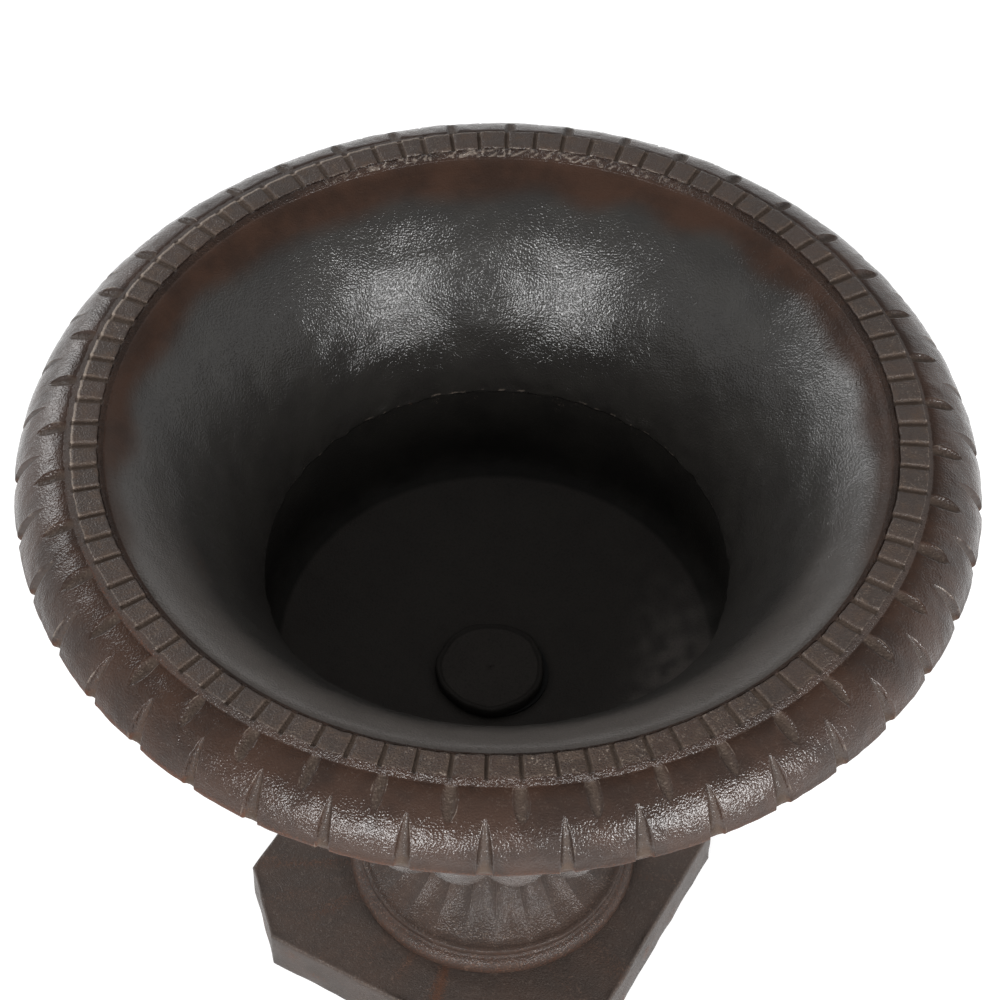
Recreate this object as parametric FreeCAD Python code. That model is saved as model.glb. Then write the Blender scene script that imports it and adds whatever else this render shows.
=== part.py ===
"""Cast iron garden vase of the campana kind: a flared bell with a rolled, notched rim,
a gadrooned bowl, a fluted foot and a square plinth, all drawn together by one tie rod.

Millimetres, +Z up. The origin is the middle of the plinth's underside. The front is -Y.
Angles named ..._turn are in degrees, counted from the front towards +X.
"""

import FreeCAD, Part
import math
import os

# Heights of the stack, from the ground up
plinth_height = 36.0
foot_height = 146.0
collar_height = 14.0
bowl_ledge_height = 153.0
bell_height = 123.0

# Bell: the flare
throat_radius = 134.0
arris_radius = 210.0
arris_drop = 6.0
flare_reach_power = 1.3
flare_turn_power = 0.65
bell_wall = 9.0
flare_stations = 12
rounding_stations = 8

# Bell: the top of the rim, from the arris outwards
ledge_width = 7.0
ledge_drop = 5.0
dentil_length = 14.5
dentil_drop = 1.2
dentil_count = 86
dentil_gap = 2.0
first_dentil_turn = -180.89
fillet_width = 2.5
fillet_foot_run = 1.2
fillet_foot_drop = 3.0

# Bell: the roll of the rim: a cove, a small crest, a short slope and a round nose
roll_width = 31.3
nose_radius = 14.0
nose_drop = 27.6
nose_end_turn = -40.0
slope_length = 7.4
slope_turn = 68.5
crest_radius = 5.0
crest_end_turn = 112.0
cove_sag = 2.8
lip_inset = 6.3
lip_start_drop = 38.5
lip_drop = 43.0
lip_round = 1.5
roll_wall = 19.0
rim_thickness = 18.0
rim_cove = 14.0

# Bell: the cuts in the roll, half as many as the dentils, in two staggered rows
notch_count = 43
inner_notch_start_run = 2.3
inner_notch_start_drop = 9.9
inner_notch_half_width = 3.4
inner_notch_tip_run = 15.8
inner_notch_tip_drop = 13.0
inner_notch_tip_half_width = 0.3
outer_notch_half_width = 5.0
# Down the roll, by the angle that it faces: shares of the outer cut's half width
outer_notch_shares = (
    (86.0, 0.06),
    (68.0, 0.40),
    (45.0, 0.66),
    (20.0, 0.82),
    (-10.0, 0.94),
    (-38.0, 1.00),
)

# Bell: the spigot that stands in the bowl's socket
spigot_wall = 13.0
spigot_height = 22.0
spigot_step = 4.0

# Bowl
socket_clearance = 0.3
socket_wall = 8.7
socket_depth = 16.0
caulk_chamfer = 5.0
spigot_bearing = 5.5
drum_inset = 1.5
drum_height = 64.0
floor_sink = 44.5
floor_thickness = 9.0
floor_fillet = 12.0
floor_stations = 6
seat_radius = 37.0
hub_radius = 24.0
skirt_wall = 9.0
skirt_opening_radius = 54.0
skirt_roof_drop = 24.0
skirt_stations = 7
gadroon_swell = 8.0
gadroon_relief = 8.0
gadroon_count = 28
gadroon_turn = -0.9
gadroon_top_gap = 4.0
gadroon_equator = 86.0
gadroon_drop = 94.0
gadroon_power = 2.2
gadroon_top_inset = 4.0
gadroon_low_stations = 8
gadroon_high_stations = 5
gadroon_relief_power = 1.5
gadroon_top_relief_share = 0.2

# Joint between bell and bowl
pin_count = 8
pin_radius = 3.0
pin_clearance = 0.15
pin_height = 6.0
pin_depth = 8.0
pin_head_radius = 5.0
pin_head_height = 2.4
caulk_clearance = 0.1
caulk_rise = 3.0

# Tie rod and what it draws together
rod_radius = 6.0
rod_clearance = 0.5
thread_clearance = 0.1
rod_chamfer = 1.0
rod_ground_gap = 3.5
clamp_radius = 34.0
clamp_thickness = 6.0
clamp_bead_width = 4.0
clamp_bead_height = 1.4
clamp_boss_radius = 11.0
clamp_boss_length = 14.0
clamp_thread_depth = 15.0
boss_clearance = 0.4
boss_end_gap = 1.0
packing_thickness = 1.5
packing_margin = 1.5
bridge_length = 164.0
bridge_width = 30.0
bridge_thickness = 8.0
washer_radius = 14.0
washer_thickness = 2.5
nut_height = 7.0
lock_nut_height = 5.0
nut_flats = 19.0
nut_chamfer = 0.9

# Collar
collar_radius = 72.0
collar_tongue_radius = 40.0
collar_tongue_height = 3.0
tongue_clearance = 0.3

# Foot
foot_torus_radius = 95.0
foot_torus_height = 16.0
foot_fillet_radius = 88.0
foot_fillet_height = 5.0
flute_count = 24
flute_depth = 4.0
flute_turn = 3.0
neck_bead_radius = 50.0
neck_bead_height = 10.0
foot_cap_radius = 60.0
foot_cap_height = 14.0
foot_wall = 9.0
foot_top_thickness = 12.0
# From the fillet up to the neck bead: shares of that height, of the fillet's radius, of the flute's depth
flute_shares = (
    (0.00, 0.950, 0.35),
    (0.10, 0.800, 0.80),
    (0.25, 0.660, 1.00),
    (0.45, 0.565, 1.00),
    (0.65, 0.515, 1.00),
    (0.85, 0.495, 0.80),
    (1.00, 0.490, 0.35),
)

# Plinth
plinth_side = 241.0
plinth_corner = 32.0
plinth_turn = 55.0
plinth_edge_round = 3.0
plinth_wall = 9.0
plinth_top = 9.0
plinth_eye_radius = 60.0

overrun = 5.0

dentil_inner_radius = arris_radius + ledge_width
fillet_radius = dentil_inner_radius + dentil_length
fillet_outer_radius = fillet_radius + fillet_width
fillet_foot_radius = fillet_outer_radius + fillet_foot_run
roll_radius = fillet_outer_radius + roll_width
lip_radius = roll_radius - lip_inset
skirt_inner_radius = roll_radius - roll_wall
notch_angles = 360.0 / notch_count
spigot_radius = throat_radius + spigot_wall
socket_inner_radius = spigot_radius + socket_clearance
socket_radius = socket_inner_radius + socket_wall
ledge_radius = spigot_radius - spigot_bearing
drum_radius = ledge_radius - drum_inset
gadroon_radius = socket_radius + gadroon_swell
gadroon_top_radius = socket_radius - gadroon_top_inset
right_angle = 90.0

bowl_bottom = plinth_height + foot_height + collar_height
ledge_z = bowl_bottom + bowl_ledge_height
rim_z = ledge_z + bell_height
floor_edge_z = ledge_z - drum_height
floor_z = floor_edge_z - floor_sink
equator_z = bowl_bottom + gadroon_equator
axis = FreeCAD.Vector(0, 0, 1)
centre = FreeCAD.Vector(0, 0, 0)


def at(radius, height):
    """A point of a section, in the plane through the axis and +X."""
    return FreeCAD.Vector(radius, 0, height)


def line(start, end):
    return Part.LineSegment(start, end).toShape()


def arc(start, middle, end):
    return Part.Arc(start, middle, end).toShape()


def spline(points):
    """A smooth curve through the points."""
    curve = Part.BSplineCurve()
    curve.interpolate(points)
    return curve.toShape()


def chain(points):
    return [line(a, b) for a, b in zip(points, points[1:])]


def turned(edges):
    """The solid that a closed section gives when it goes round the axis."""
    face = Part.Face(Part.Wire(edges))
    return face.revolve(centre, axis, 360)


def polygon_turned(points):
    return turned(chain(points + points[:1]))


def around(shape, count, first_turn):
    """Copies of a shape, made at the +X side, spread evenly from a turn counted from the front."""
    copies = []
    for k in range(count):
        copy = shape.copy()
        copy.rotate(centre, axis, first_turn - right_angle + k * 360 / count)
        copies.append(copy)
    return copies


def save(name, shape):
    if shape.ShapeType == "Compound" and len(shape.Solids) == 1:
        shape = shape.Solids[0]
    shape.exportStep(os.path.join("parts", name + ".step"))


def flare_point(share):
    """The flare's inner face. The share runs from 0 at the arris to 1 at the throat."""
    reach = arris_radius - throat_radius
    fall = bell_height - arris_drop
    drop = 1 - (1 - share**flare_reach_power) ** flare_turn_power
    return at(arris_radius - reach * share, rim_z - arris_drop - fall * drop)


def flare_outer_point(share):
    """The flare's outer face, one wall away from the inner one, square to it."""
    step = 0.5 / flare_stations
    ahead = flare_point(min(1, share + step)) - flare_point(max(0, share - step))
    ahead.normalize()
    return flare_point(share) + FreeCAD.Vector(-ahead.z, 0, ahead.x) * bell_wall


def facing(turn):
    """One unit outwards, at an angle above the horizontal."""
    angle = math.radians(turn)
    return at(math.cos(angle), math.sin(angle))


def spread(first, last):
    """Evenly spaced values from the first to the last, for the points along a rounding."""
    return [first + (last - first) * k / rounding_stations for k in range(rounding_stations + 1)]


def nose_point(turn):
    """The point of the roll's round nose that faces an angle above the horizontal."""
    return at(roll_radius - nose_radius, rim_z - nose_drop) + facing(turn) * nose_radius


def crest_point(turn):
    """The point of the small crest, up the slope from the nose, that faces an angle."""
    slope_top = nose_point(slope_turn) + facing(slope_turn + right_angle) * slope_length
    return slope_top + (facing(turn) - facing(slope_turn)) * crest_radius


def cove_points():
    """The fillet's foot, the middle of the hollow outside it, and the hollow's end on the crest."""
    foot = at(fillet_foot_radius, rim_z - fillet_foot_drop)
    end = crest_point(crest_end_turn)
    across = end - foot
    sag = FreeCAD.Vector(across.z, 0, -across.x).normalize() * cove_sag
    return [foot, foot + across * 0.5 + sag, end]


def rim_section():
    """The rim's edges from the arris out over ledge, dentils, fillet and roll, and back under the lip."""
    pad = rim_z - dentil_drop
    ledge = rim_z - ledge_drop
    top = [
        flare_point(0),
        at(arris_radius, ledge),
        at(dentil_inner_radius, ledge),
        at(dentil_inner_radius, pad),
        at(fillet_radius, pad),
        at(fillet_radius, rim_z),
        at(fillet_outer_radius, rim_z),
        at(fillet_foot_radius, rim_z - fillet_foot_drop),
    ]
    roll = [
        spline(cove_points()),
        spline([crest_point(turn) for turn in spread(crest_end_turn, slope_turn)]),
        line(crest_point(slope_turn), nose_point(slope_turn)),
        spline([nose_point(turn) for turn in spread(slope_turn, nose_end_turn)]),
    ]
    under = rim_z - rim_thickness
    lip = [
        nose_point(nose_end_turn),
        at(lip_radius, rim_z - lip_start_drop),
        at(lip_radius, rim_z - lip_drop + lip_round),
        at(lip_radius - lip_round, rim_z - lip_drop),
        at(skirt_inner_radius, rim_z - lip_drop),
        at(skirt_inner_radius, under - rim_cove),
    ]
    rise = rim_cove * (1 - math.sin(math.radians(45)))
    hollow = arc(
        lip[-1],
        at(skirt_inner_radius - rise, under - rise),
        at(skirt_inner_radius - rim_cove, under),
    )
    return chain(top) + roll + chain(lip) + [hollow]


def bell_section():
    """The bell's section: inner flare, rim, outer wall and spigot."""
    inner = [flare_point(1 - k / flare_stations) for k in range(flare_stations + 1)]
    spigot_top = ledge_z + spigot_height
    shares = [k / flare_stations for k in range(flare_stations)]
    outer = [flare_outer_point(s) for s in shares]
    outer = [p for p in outer if p.z > spigot_top + spigot_step]
    wall = [at(skirt_inner_radius - rim_cove, rim_z - rim_thickness), outer[0]]
    foot = [
        outer[-1],
        at(spigot_radius, spigot_top),
        at(spigot_radius, ledge_z),
        inner[0],
    ]
    return [spline(inner)] + rim_section() + chain(wall) + [spline(outer)] + chain(foot)


def dentil_groove():
    """The gap between two dentils, as deep as the ledge inside them."""
    length = dentil_length + overrun
    box = Part.makeBox(length, dentil_gap, ledge_drop + overrun)
    box.translate(FreeCAD.Vector(fillet_radius - length, -dentil_gap / 2, rim_z - ledge_drop))
    return box


def tapered(points, radii):
    """A round bar through the points, with a radius at each, its sections square to its way."""
    sections = []
    for k, point in enumerate(points):
        way = points[min(k + 1, len(points) - 1)] - points[max(k - 1, 0)]
        sections.append(Part.Wire(Part.Circle(point, way, radii[k]).toShape()))
    return Part.makeLoft(sections, True, False)


def inner_notch():
    """A gouge from near the fillet's foot across the cove, down to a point beyond the crest."""
    start = at(fillet_foot_radius + inner_notch_start_run, rim_z - inner_notch_start_drop)
    way = at(fillet_foot_radius + inner_notch_tip_run, rim_z - inner_notch_tip_drop) - start
    return Part.makeCone(
        inner_notch_half_width, inner_notch_tip_half_width, way.Length, start, way
    )


def outer_notch():
    """A lancet down the roll: pointed at the crest, widest where it leaves the nose."""
    points = []
    for turn, share in outer_notch_shares:
        points.append(crest_point(turn) if turn > slope_turn else nose_point(turn))
    return tapered(points, [outer_notch_half_width * share for turn, share in outer_notch_shares])


def pin_hole(inner_radius, outer_radius):
    start = at(inner_radius, ledge_z + pin_height)
    return Part.makeCylinder(pin_radius + pin_clearance, outer_radius - inner_radius, start, facing(0))


def bell():
    """The flared upper casting with its rolled rim."""
    body = turned(bell_section())
    half_pitch = notch_angles / 2
    body = body.cut(around(dentil_groove(), dentil_count, first_dentil_turn))
    body = body.cut(around(outer_notch(), notch_count, first_dentil_turn + half_pitch))
    body = body.cut(around(inner_notch(), notch_count, first_dentil_turn))
    return body.cut(around(pin_hole(spigot_radius - pin_depth, spigot_radius + overrun), pin_count, 0))


def scalloped(count, radius, relief, height, hollow):
    """A closed outline of equal arcs: lobes that swell out to the radius, or flutes that sink from it."""
    outline = []
    step = 2 * math.pi / count
    low, high = (radius, radius - relief) if hollow else (radius - relief, radius)
    for k in range(count):
        points = []
        for share, reach in ((0, low), (0.5, high), (1, low)):
            angle = (k + share) * step
            points.append(FreeCAD.Vector(reach * math.cos(angle), reach * math.sin(angle), height))
        outline.append(arc(*points))
    return Part.Wire(outline)


def lofted(stations, count, hollow, turn):
    """A solid through scalloped outlines, one for each station of height, radius and relief."""
    outlines = [scalloped(count, radius, relief, height, hollow) for height, radius, relief in stations]
    solid = Part.makeLoft(outlines, True, False)
    solid.rotate(centre, axis, turn - right_angle)
    return solid


def belly(angle):
    """The belly's underside: shares of its radius and of its drop, by angle, from 0 at the pole to a right
    angle at the equator."""
    power = 2 / gadroon_power
    return math.sin(angle) ** power, math.cos(angle) ** power


def belly_angle(drop_share):
    """The angle at which the belly lies that share of its drop below the equator."""
    return math.acos(drop_share ** (gadroon_power / 2))


def gadroon_stations():
    """The lobes' crests: the belly's superellipse up to the equator, then a slow taper to the socket."""
    stations = []
    lowest = belly_angle(gadroon_equator / gadroon_drop)
    for k in range(gadroon_low_stations):
        reach, drop = belly(lowest + (math.pi / 2 - lowest) * k / gadroon_low_stations)
        relief = gadroon_relief * reach**gadroon_relief_power
        stations.append((equator_z - gadroon_drop * drop, gadroon_radius * reach, relief))
    rise = ledge_z - gadroon_top_gap - equator_z
    for k in range(gadroon_high_stations):
        share = k / (gadroon_high_stations - 1)
        stations.append((
            equator_z + rise * share,
            gadroon_radius - (gadroon_radius - gadroon_top_radius) * share**2,
            gadroon_relief * (1 - (1 - gadroon_top_relief_share) * share**3),
        ))
    return stations


def dish_point(share):
    """The floor's top face, from its flat seat at share 0 up to the drum at share 1."""
    reach = drum_radius - floor_fillet - seat_radius
    rise = floor_sink - floor_fillet
    return at(seat_radius + reach * share, floor_z + rise * share * share)


def bowl_inside():
    """The room above the floor: socket, ledge, drum and dished floor."""
    socket = socket_inner_radius
    socket_top = ledge_z + socket_depth
    wall = [
        at(0, socket_top + overrun),
        at(socket + caulk_chamfer + overrun, socket_top + overrun),
        at(socket + caulk_chamfer, socket_top),
        at(socket, socket_top - caulk_chamfer),
        at(socket, ledge_z),
        at(ledge_radius, ledge_z),
        at(drum_radius, floor_edge_z),
    ]
    dish = [dish_point(k / floor_stations) for k in range(floor_stations, -1, -1)]
    closing = [dish[-1], at(0, floor_z), wall[0]]
    return turned(chain(wall) + [line(wall[-1], dish[0])] + [spline(dish)] + chain(closing))


def bowl_underside():
    """The cored room under the floor, round the hub, open downwards: one wall inside the belly."""
    radius = gadroon_radius - gadroon_relief - skirt_wall
    fall = gadroon_drop - skirt_wall
    lowest = math.asin((skirt_opening_radius / radius) ** (gadroon_power / 2))
    highest = belly_angle(skirt_roof_drop / fall)
    outer = []
    for k in range(skirt_stations + 1):
        reach, drop = belly(lowest + (highest - lowest) * k / skirt_stations)
        outer.append(at(radius * reach, equator_z - fall * drop))
    roof = floor_z - floor_thickness
    mouth = [
        at(hub_radius, bowl_bottom - overrun),
        at(skirt_opening_radius, bowl_bottom - overrun),
        outer[0],
    ]
    inner = [outer[-1], at(seat_radius, roof), at(hub_radius, roof), mouth[0]]
    return turned(chain(mouth) + [spline(outer)] + chain(inner))


def lower_bowl():
    """The gadrooned lower casting that carries the bell and has the vase's floor."""
    socket_bottom = ledge_z - gadroon_top_gap
    body = lofted(gadroon_stations(), gadroon_count, False, gadroon_turn)
    band = Part.makeCylinder(socket_radius, socket_depth + gadroon_top_gap, at(0, socket_bottom))
    body = body.fuse(band)
    boss_hole = Part.makeCylinder(
        clamp_boss_radius + boss_clearance, clamp_boss_length + boss_end_gap + overrun,
        at(0, floor_z - clamp_boss_length - boss_end_gap),
    )
    rod_hole = Part.makeCylinder(
        rod_radius + rod_clearance, floor_z - bowl_bottom + overrun, at(0, bowl_bottom - overrun)
    )
    pins = around(pin_hole(spigot_radius, socket_radius + overrun), pin_count, 0)
    return body.cut([bowl_inside(), bowl_underside(), boss_hole, rod_hole] + pins)


def joint_caulking():
    """The ring of iron cement rammed into the groove at the top of the socket."""
    inner = spigot_radius + caulk_clearance
    outer = socket_inner_radius + caulk_chamfer - caulk_clearance
    top = ledge_z + socket_depth
    low = at(inner, top - caulk_chamfer + 2 * caulk_clearance)
    edge = at(outer, top + caulk_clearance)
    crown = at(inner, top + caulk_rise)
    bulge = at((inner + outer) / 2 + caulk_rise / 4, top + caulk_rise * 0.75)
    return turned([line(low, edge), arc(edge, bulge, crown), line(crown, low)])


def joint_pins():
    """The riveted pins that lock the bell's spigot into the bowl's socket."""
    inner = spigot_radius - pin_depth + pin_clearance
    length = socket_radius + pin_clearance - inner
    ball_radius = (pin_head_radius**2 + pin_head_height**2) / (2 * pin_head_height)
    ball_height = length + pin_head_height - ball_radius
    half = math.asin(pin_head_radius / ball_radius) / 2
    head = arc(
        at(pin_head_radius, length),
        at(ball_radius * math.sin(half), ball_height + ball_radius * math.cos(half)),
        at(0, length + pin_head_height),
    )
    shank = [at(0, 0), at(pin_radius, 0), at(pin_radius, length), at(pin_head_radius, length)]
    pin = turned(chain(shank) + [head, line(at(0, length + pin_head_height), shank[0])])
    pin.rotate(centre, FreeCAD.Vector(0, 1, 0), right_angle)
    pin.translate(at(inner, ledge_z + pin_height))
    return Part.makeCompound(around(pin, pin_count, 0))


def clamp_plate():
    """The round plate on the vase's floor, with a raised bead at its edge and a blind threaded boss."""
    bottom = floor_z + packing_thickness
    top = bottom + clamp_thickness
    inner = clamp_radius - clamp_bead_width
    section = [
        at(0, floor_z - clamp_boss_length),
        at(clamp_boss_radius, floor_z - clamp_boss_length),
        at(clamp_boss_radius, bottom),
        at(clamp_radius, bottom),
        at(clamp_radius, top),
    ]
    bead = arc(
        at(clamp_radius, top),
        at((clamp_radius + inner) / 2, top + clamp_bead_height),
        at(inner, top),
    )
    body = turned(chain(section) + [bead] + chain([at(inner, top), at(0, top), section[0]]))
    thread = Part.makeCylinder(
        rod_radius + thread_clearance, clamp_thread_depth, at(0, floor_z - clamp_boss_length)
    )
    return body.cut(thread)


def plate_packing():
    """The soft ring that seals the clamp plate to the floor."""
    outer = clamp_radius - packing_margin
    inner = clamp_boss_radius + boss_clearance
    return polygon_turned([
        at(inner, floor_z),
        at(outer, floor_z),
        at(outer, floor_z + packing_thickness),
        at(inner, floor_z + packing_thickness),
    ])


def neck_collar():
    """The half round ring between bowl and foot, with a tongue that centres it on the foot."""
    bottom = bowl_bottom - collar_height
    half = collar_height / 2
    bore = rod_radius + rod_clearance
    side = arc(
        at(collar_radius - half, bottom),
        at(collar_radius, bottom + half),
        at(collar_radius - half, bowl_bottom),
    )
    rest = [
        at(collar_radius - half, bowl_bottom),
        at(bore, bowl_bottom),
        at(bore, bottom - collar_tongue_height),
        at(collar_tongue_radius, bottom - collar_tongue_height),
        at(collar_tongue_radius, bottom),
        at(collar_radius - half, bottom),
    ]
    return turned([side] + chain(rest))


def foot_core():
    """The hollow of the foot, open downwards, one wall inside the flutes."""
    top = plinth_height + foot_height - foot_top_thickness - collar_tongue_height
    base = plinth_height + foot_torus_height + foot_fillet_height
    height = plinth_height + foot_height - foot_cap_height - neck_bead_height - base
    wall = [
        at(foot_fillet_radius * r - flute_depth - foot_wall, base + height * h)
        for h, r, d in flute_shares
    ]
    mouth = foot_fillet_radius - foot_wall
    section = [
        at(0, plinth_height - overrun),
        at(mouth, plinth_height - overrun),
        at(mouth, base - foot_wall),
        wall[0],
    ]
    roof = [at(wall[-1].x, top), at(0, top), section[0]]
    return turned(chain(section) + [spline(wall)] + chain([wall[-1]] + roof))


def foot():
    """The fluted foot casting: torus, fillet, fluted scotia, neck bead and cap."""
    torus_top = plinth_height + foot_torus_height
    base = torus_top + foot_fillet_height
    cap_bottom = plinth_height + foot_height - foot_cap_height
    bead_bottom = cap_bottom - neck_bead_height
    stations = [
        (base + (bead_bottom - base) * h, foot_fillet_radius * r, flute_depth * d)
        for h, r, d in flute_shares
    ]
    flutes = lofted(stations, flute_count, True, flute_turn)
    torus_half = foot_torus_height / 2
    torus = turned(
        [arc(
            at(foot_torus_radius - torus_half, plinth_height),
            at(foot_torus_radius, plinth_height + torus_half),
            at(foot_torus_radius - torus_half, torus_top),
        )] + chain([
            at(foot_torus_radius - torus_half, torus_top),
            at(0, torus_top),
            at(0, plinth_height),
            at(foot_torus_radius - torus_half, plinth_height),
        ])
    )
    fillet = Part.makeCylinder(foot_fillet_radius, foot_fillet_height, at(0, torus_top))
    bead_half = neck_bead_height / 2
    bead = turned(
        [arc(
            at(neck_bead_radius - bead_half, bead_bottom),
            at(neck_bead_radius, bead_bottom + bead_half),
            at(neck_bead_radius - bead_half, cap_bottom),
        )] + chain([
            at(neck_bead_radius - bead_half, cap_bottom),
            at(0, cap_bottom),
            at(0, bead_bottom),
            at(neck_bead_radius - bead_half, bead_bottom),
        ])
    )
    cap = turned(
        [arc(
            at(neck_bead_radius - bead_half, cap_bottom),
            at(neck_bead_radius, cap_bottom + foot_cap_height / 2),
            at(foot_cap_radius, cap_bottom + foot_cap_height),
        )] + chain([
            at(foot_cap_radius, cap_bottom + foot_cap_height),
            at(0, cap_bottom + foot_cap_height),
            at(0, cap_bottom),
            at(neck_bead_radius - bead_half, cap_bottom),
        ])
    )
    body = flutes.fuse([torus, fillet, bead, cap])
    top = plinth_height + foot_height
    tongue_hole = Part.makeCylinder(
        collar_tongue_radius + tongue_clearance, collar_tongue_height + tongue_clearance + overrun,
        at(0, top - collar_tongue_height - tongue_clearance),
    )
    rod_hole = Part.makeCylinder(rod_radius + rod_clearance, foot_height, at(0, plinth_height + overrun))
    return body.cut([foot_core(), tongue_hole, rod_hole])


def square_block(side, height, corner):
    """A square block on the ground with rounded upright edges."""
    block = Part.makeBox(side, side, height, FreeCAD.Vector(-side / 2, -side / 2, 0))
    upright = [e for e in block.Edges if abs(e.BoundBox.ZLength - height) < height / 100]
    return block.makeFillet(corner, upright)


def plinth():
    """The square base, a shallow tray turned over, with an eye for the foot's hollow."""
    block = square_block(plinth_side, plinth_height, plinth_corner)
    rim = [e for e in block.Edges if e.BoundBox.ZMin > plinth_height / 2]
    block = block.makeFillet(plinth_edge_round, rim)
    hollow = square_block(
        plinth_side - 2 * plinth_wall, plinth_height - plinth_top, plinth_corner - plinth_wall
    )
    eye = Part.makeCylinder(plinth_eye_radius, plinth_height + overrun)
    body = block.cut([hollow, eye])
    body.rotate(centre, axis, plinth_turn)
    return body


def bridge_z():
    return plinth_height - plinth_top - bridge_thickness


def bridge_bar():
    """The flat bar under the plinth that the tie rod pulls against."""
    bar = Part.makeBox(
        bridge_length, bridge_width, bridge_thickness,
        FreeCAD.Vector(-bridge_length / 2, -bridge_width / 2, bridge_z()),
    )
    hole = Part.makeCylinder(
        rod_radius + rod_clearance, bridge_thickness + 2 * overrun, at(0, bridge_z() - overrun)
    )
    bar = bar.cut(hole)
    bar.rotate(centre, axis, plinth_turn)
    return bar


def bridge_washer():
    bottom = bridge_z() - washer_thickness
    ring = Part.makeCylinder(washer_radius, washer_thickness, at(0, bottom))
    hole = Part.makeCylinder(
        rod_radius + rod_clearance, washer_thickness + 2 * overrun, at(0, bottom - overrun)
    )
    return ring.cut(hole)


def hexagon_nut(bottom, height):
    """A hexagon nut with its corners chamfered by a cone at both faces."""
    corner = nut_flats / math.sqrt(3)
    points = []
    for k in range(7):
        angle = math.radians(60 * k)
        points.append(FreeCAD.Vector(corner * math.cos(angle), corner * math.sin(angle), bottom))
    prism = Part.Face(Part.makePolygon(points)).extrude(at(0, height))
    envelope = polygon_turned([
        at(0, bottom),
        at(corner - nut_chamfer, bottom),
        at(corner, bottom + nut_chamfer / 2),
        at(corner, bottom + height - nut_chamfer / 2),
        at(corner - nut_chamfer, bottom + height),
        at(0, bottom + height),
    ])
    hole = Part.makeCylinder(
        rod_radius + thread_clearance, height + 2 * overrun, at(0, bottom - overrun)
    )
    return prism.common(envelope).cut(hole)


def tie_nut():
    return hexagon_nut(bridge_z() - washer_thickness - nut_height, nut_height)


def lock_nut():
    return hexagon_nut(bridge_z() - washer_thickness - nut_height - lock_nut_height, lock_nut_height)


def tie_rod():
    """The rod from the clamp plate's boss down through bowl, collar, foot and bridge."""
    top = floor_z - clamp_boss_length + clamp_thread_depth - rod_chamfer
    return polygon_turned([
        at(0, rod_ground_gap),
        at(rod_radius - rod_chamfer, rod_ground_gap),
        at(rod_radius, rod_ground_gap + rod_chamfer),
        at(rod_radius, top - rod_chamfer),
        at(rod_radius - rod_chamfer, top),
        at(0, top),
    ])


os.makedirs("parts", exist_ok=True)
save("bell", bell())
save("lower_bowl", lower_bowl())
save("joint_caulking", joint_caulking())
save("joint_pins", joint_pins())
save("clamp_plate", clamp_plate())
save("plate_packing", plate_packing())
save("neck_collar", neck_collar())
save("foot", foot())
save("plinth", plinth())
save("tie_rod", tie_rod())
save("bridge_bar", bridge_bar())
save("bridge_washer", bridge_washer())
save("tie_nut", tie_nut())
save("lock_nut", lock_nut())
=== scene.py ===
# %% [markdown]
# # A cast iron garden vase
#
# A garden vase of this kind is a stack of iron castings: a wide bell with a rolled, notched rim, a bowl with
# swelling lobes, a fluted foot and a square plinth, painted dark brown outside and black inside.
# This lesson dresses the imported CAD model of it. The castings' surfaces are worked out with numpy from a few
# measures, so that the tool marks, the worn edges and the soft ripple of cast iron are real geometry.

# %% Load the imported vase
import math
from functools import partial

import bpy
import numpy as np
from mathutils import Matrix, Vector


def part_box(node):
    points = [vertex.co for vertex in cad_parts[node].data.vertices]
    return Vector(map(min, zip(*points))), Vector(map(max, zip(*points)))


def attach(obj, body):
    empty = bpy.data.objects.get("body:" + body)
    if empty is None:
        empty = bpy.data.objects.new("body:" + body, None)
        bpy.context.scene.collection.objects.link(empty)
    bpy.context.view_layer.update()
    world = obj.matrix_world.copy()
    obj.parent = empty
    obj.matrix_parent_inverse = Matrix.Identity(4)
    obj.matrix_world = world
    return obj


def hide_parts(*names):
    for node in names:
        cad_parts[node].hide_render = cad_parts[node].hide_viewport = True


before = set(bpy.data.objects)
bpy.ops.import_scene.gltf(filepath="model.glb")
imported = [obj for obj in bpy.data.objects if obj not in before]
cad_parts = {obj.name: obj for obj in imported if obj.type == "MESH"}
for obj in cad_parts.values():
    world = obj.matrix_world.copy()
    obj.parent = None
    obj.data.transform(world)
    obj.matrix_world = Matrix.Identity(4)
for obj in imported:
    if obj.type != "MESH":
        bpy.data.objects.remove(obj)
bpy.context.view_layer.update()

# %% [markdown]
# ## Measures
#
# The CAD nodes give the heights and the overall radius. The other measures of the castings are in millimetres,
# as a pattern maker would note them: a radius from the axis, and a drop below the rim's highest ring.

# %% Heights of the castings
MM = 0.001
TURN = 2 * math.pi


def height(node, top=True):
    """The highest or lowest point of a CAD node in millimetres."""
    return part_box(node)[1 if top else 0].z / MM


rim_z = height("bell")
joint_z = height("bell", top=False)
socket_top_z = height("lower_bowl")
bowl_bottom_z = height("lower_bowl", top=False)
plate_top_z = height("clamp_plate")
tongue_z = height("neck_collar", top=False)
plinth_top_z = height("plinth")
roll_radius = min(-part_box("bell")[0].x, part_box("bell")[1].x) / MM
print("rim", round(rim_z, 2), "joint", round(joint_z, 2), "roll radius", round(roll_radius, 2))

# %% [markdown]
# ## Helpers for surfaces
#
# Every casting here goes round one axis. Its surface is a grid: rows follow the section, columns go round.
# An angle is measured from the front of the vase towards its right side, so the front is -Y.
# A ring is one row of the grid, closed on itself. A Screw modifier could turn a section too, but cuts and lobes
# need columns of their own, so the points are computed.


# %% From radius, angle and height to points
def ring_points(radius, angle, level):
    """x = r sin(angle), y = -r cos(angle), z = level, for arrays that broadcast to rows by columns."""
    radius, angle, level = np.broadcast_arrays(radius, angle, level)
    return np.stack([radius * np.sin(angle), -radius * np.cos(angle), level], axis=-1)


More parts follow.
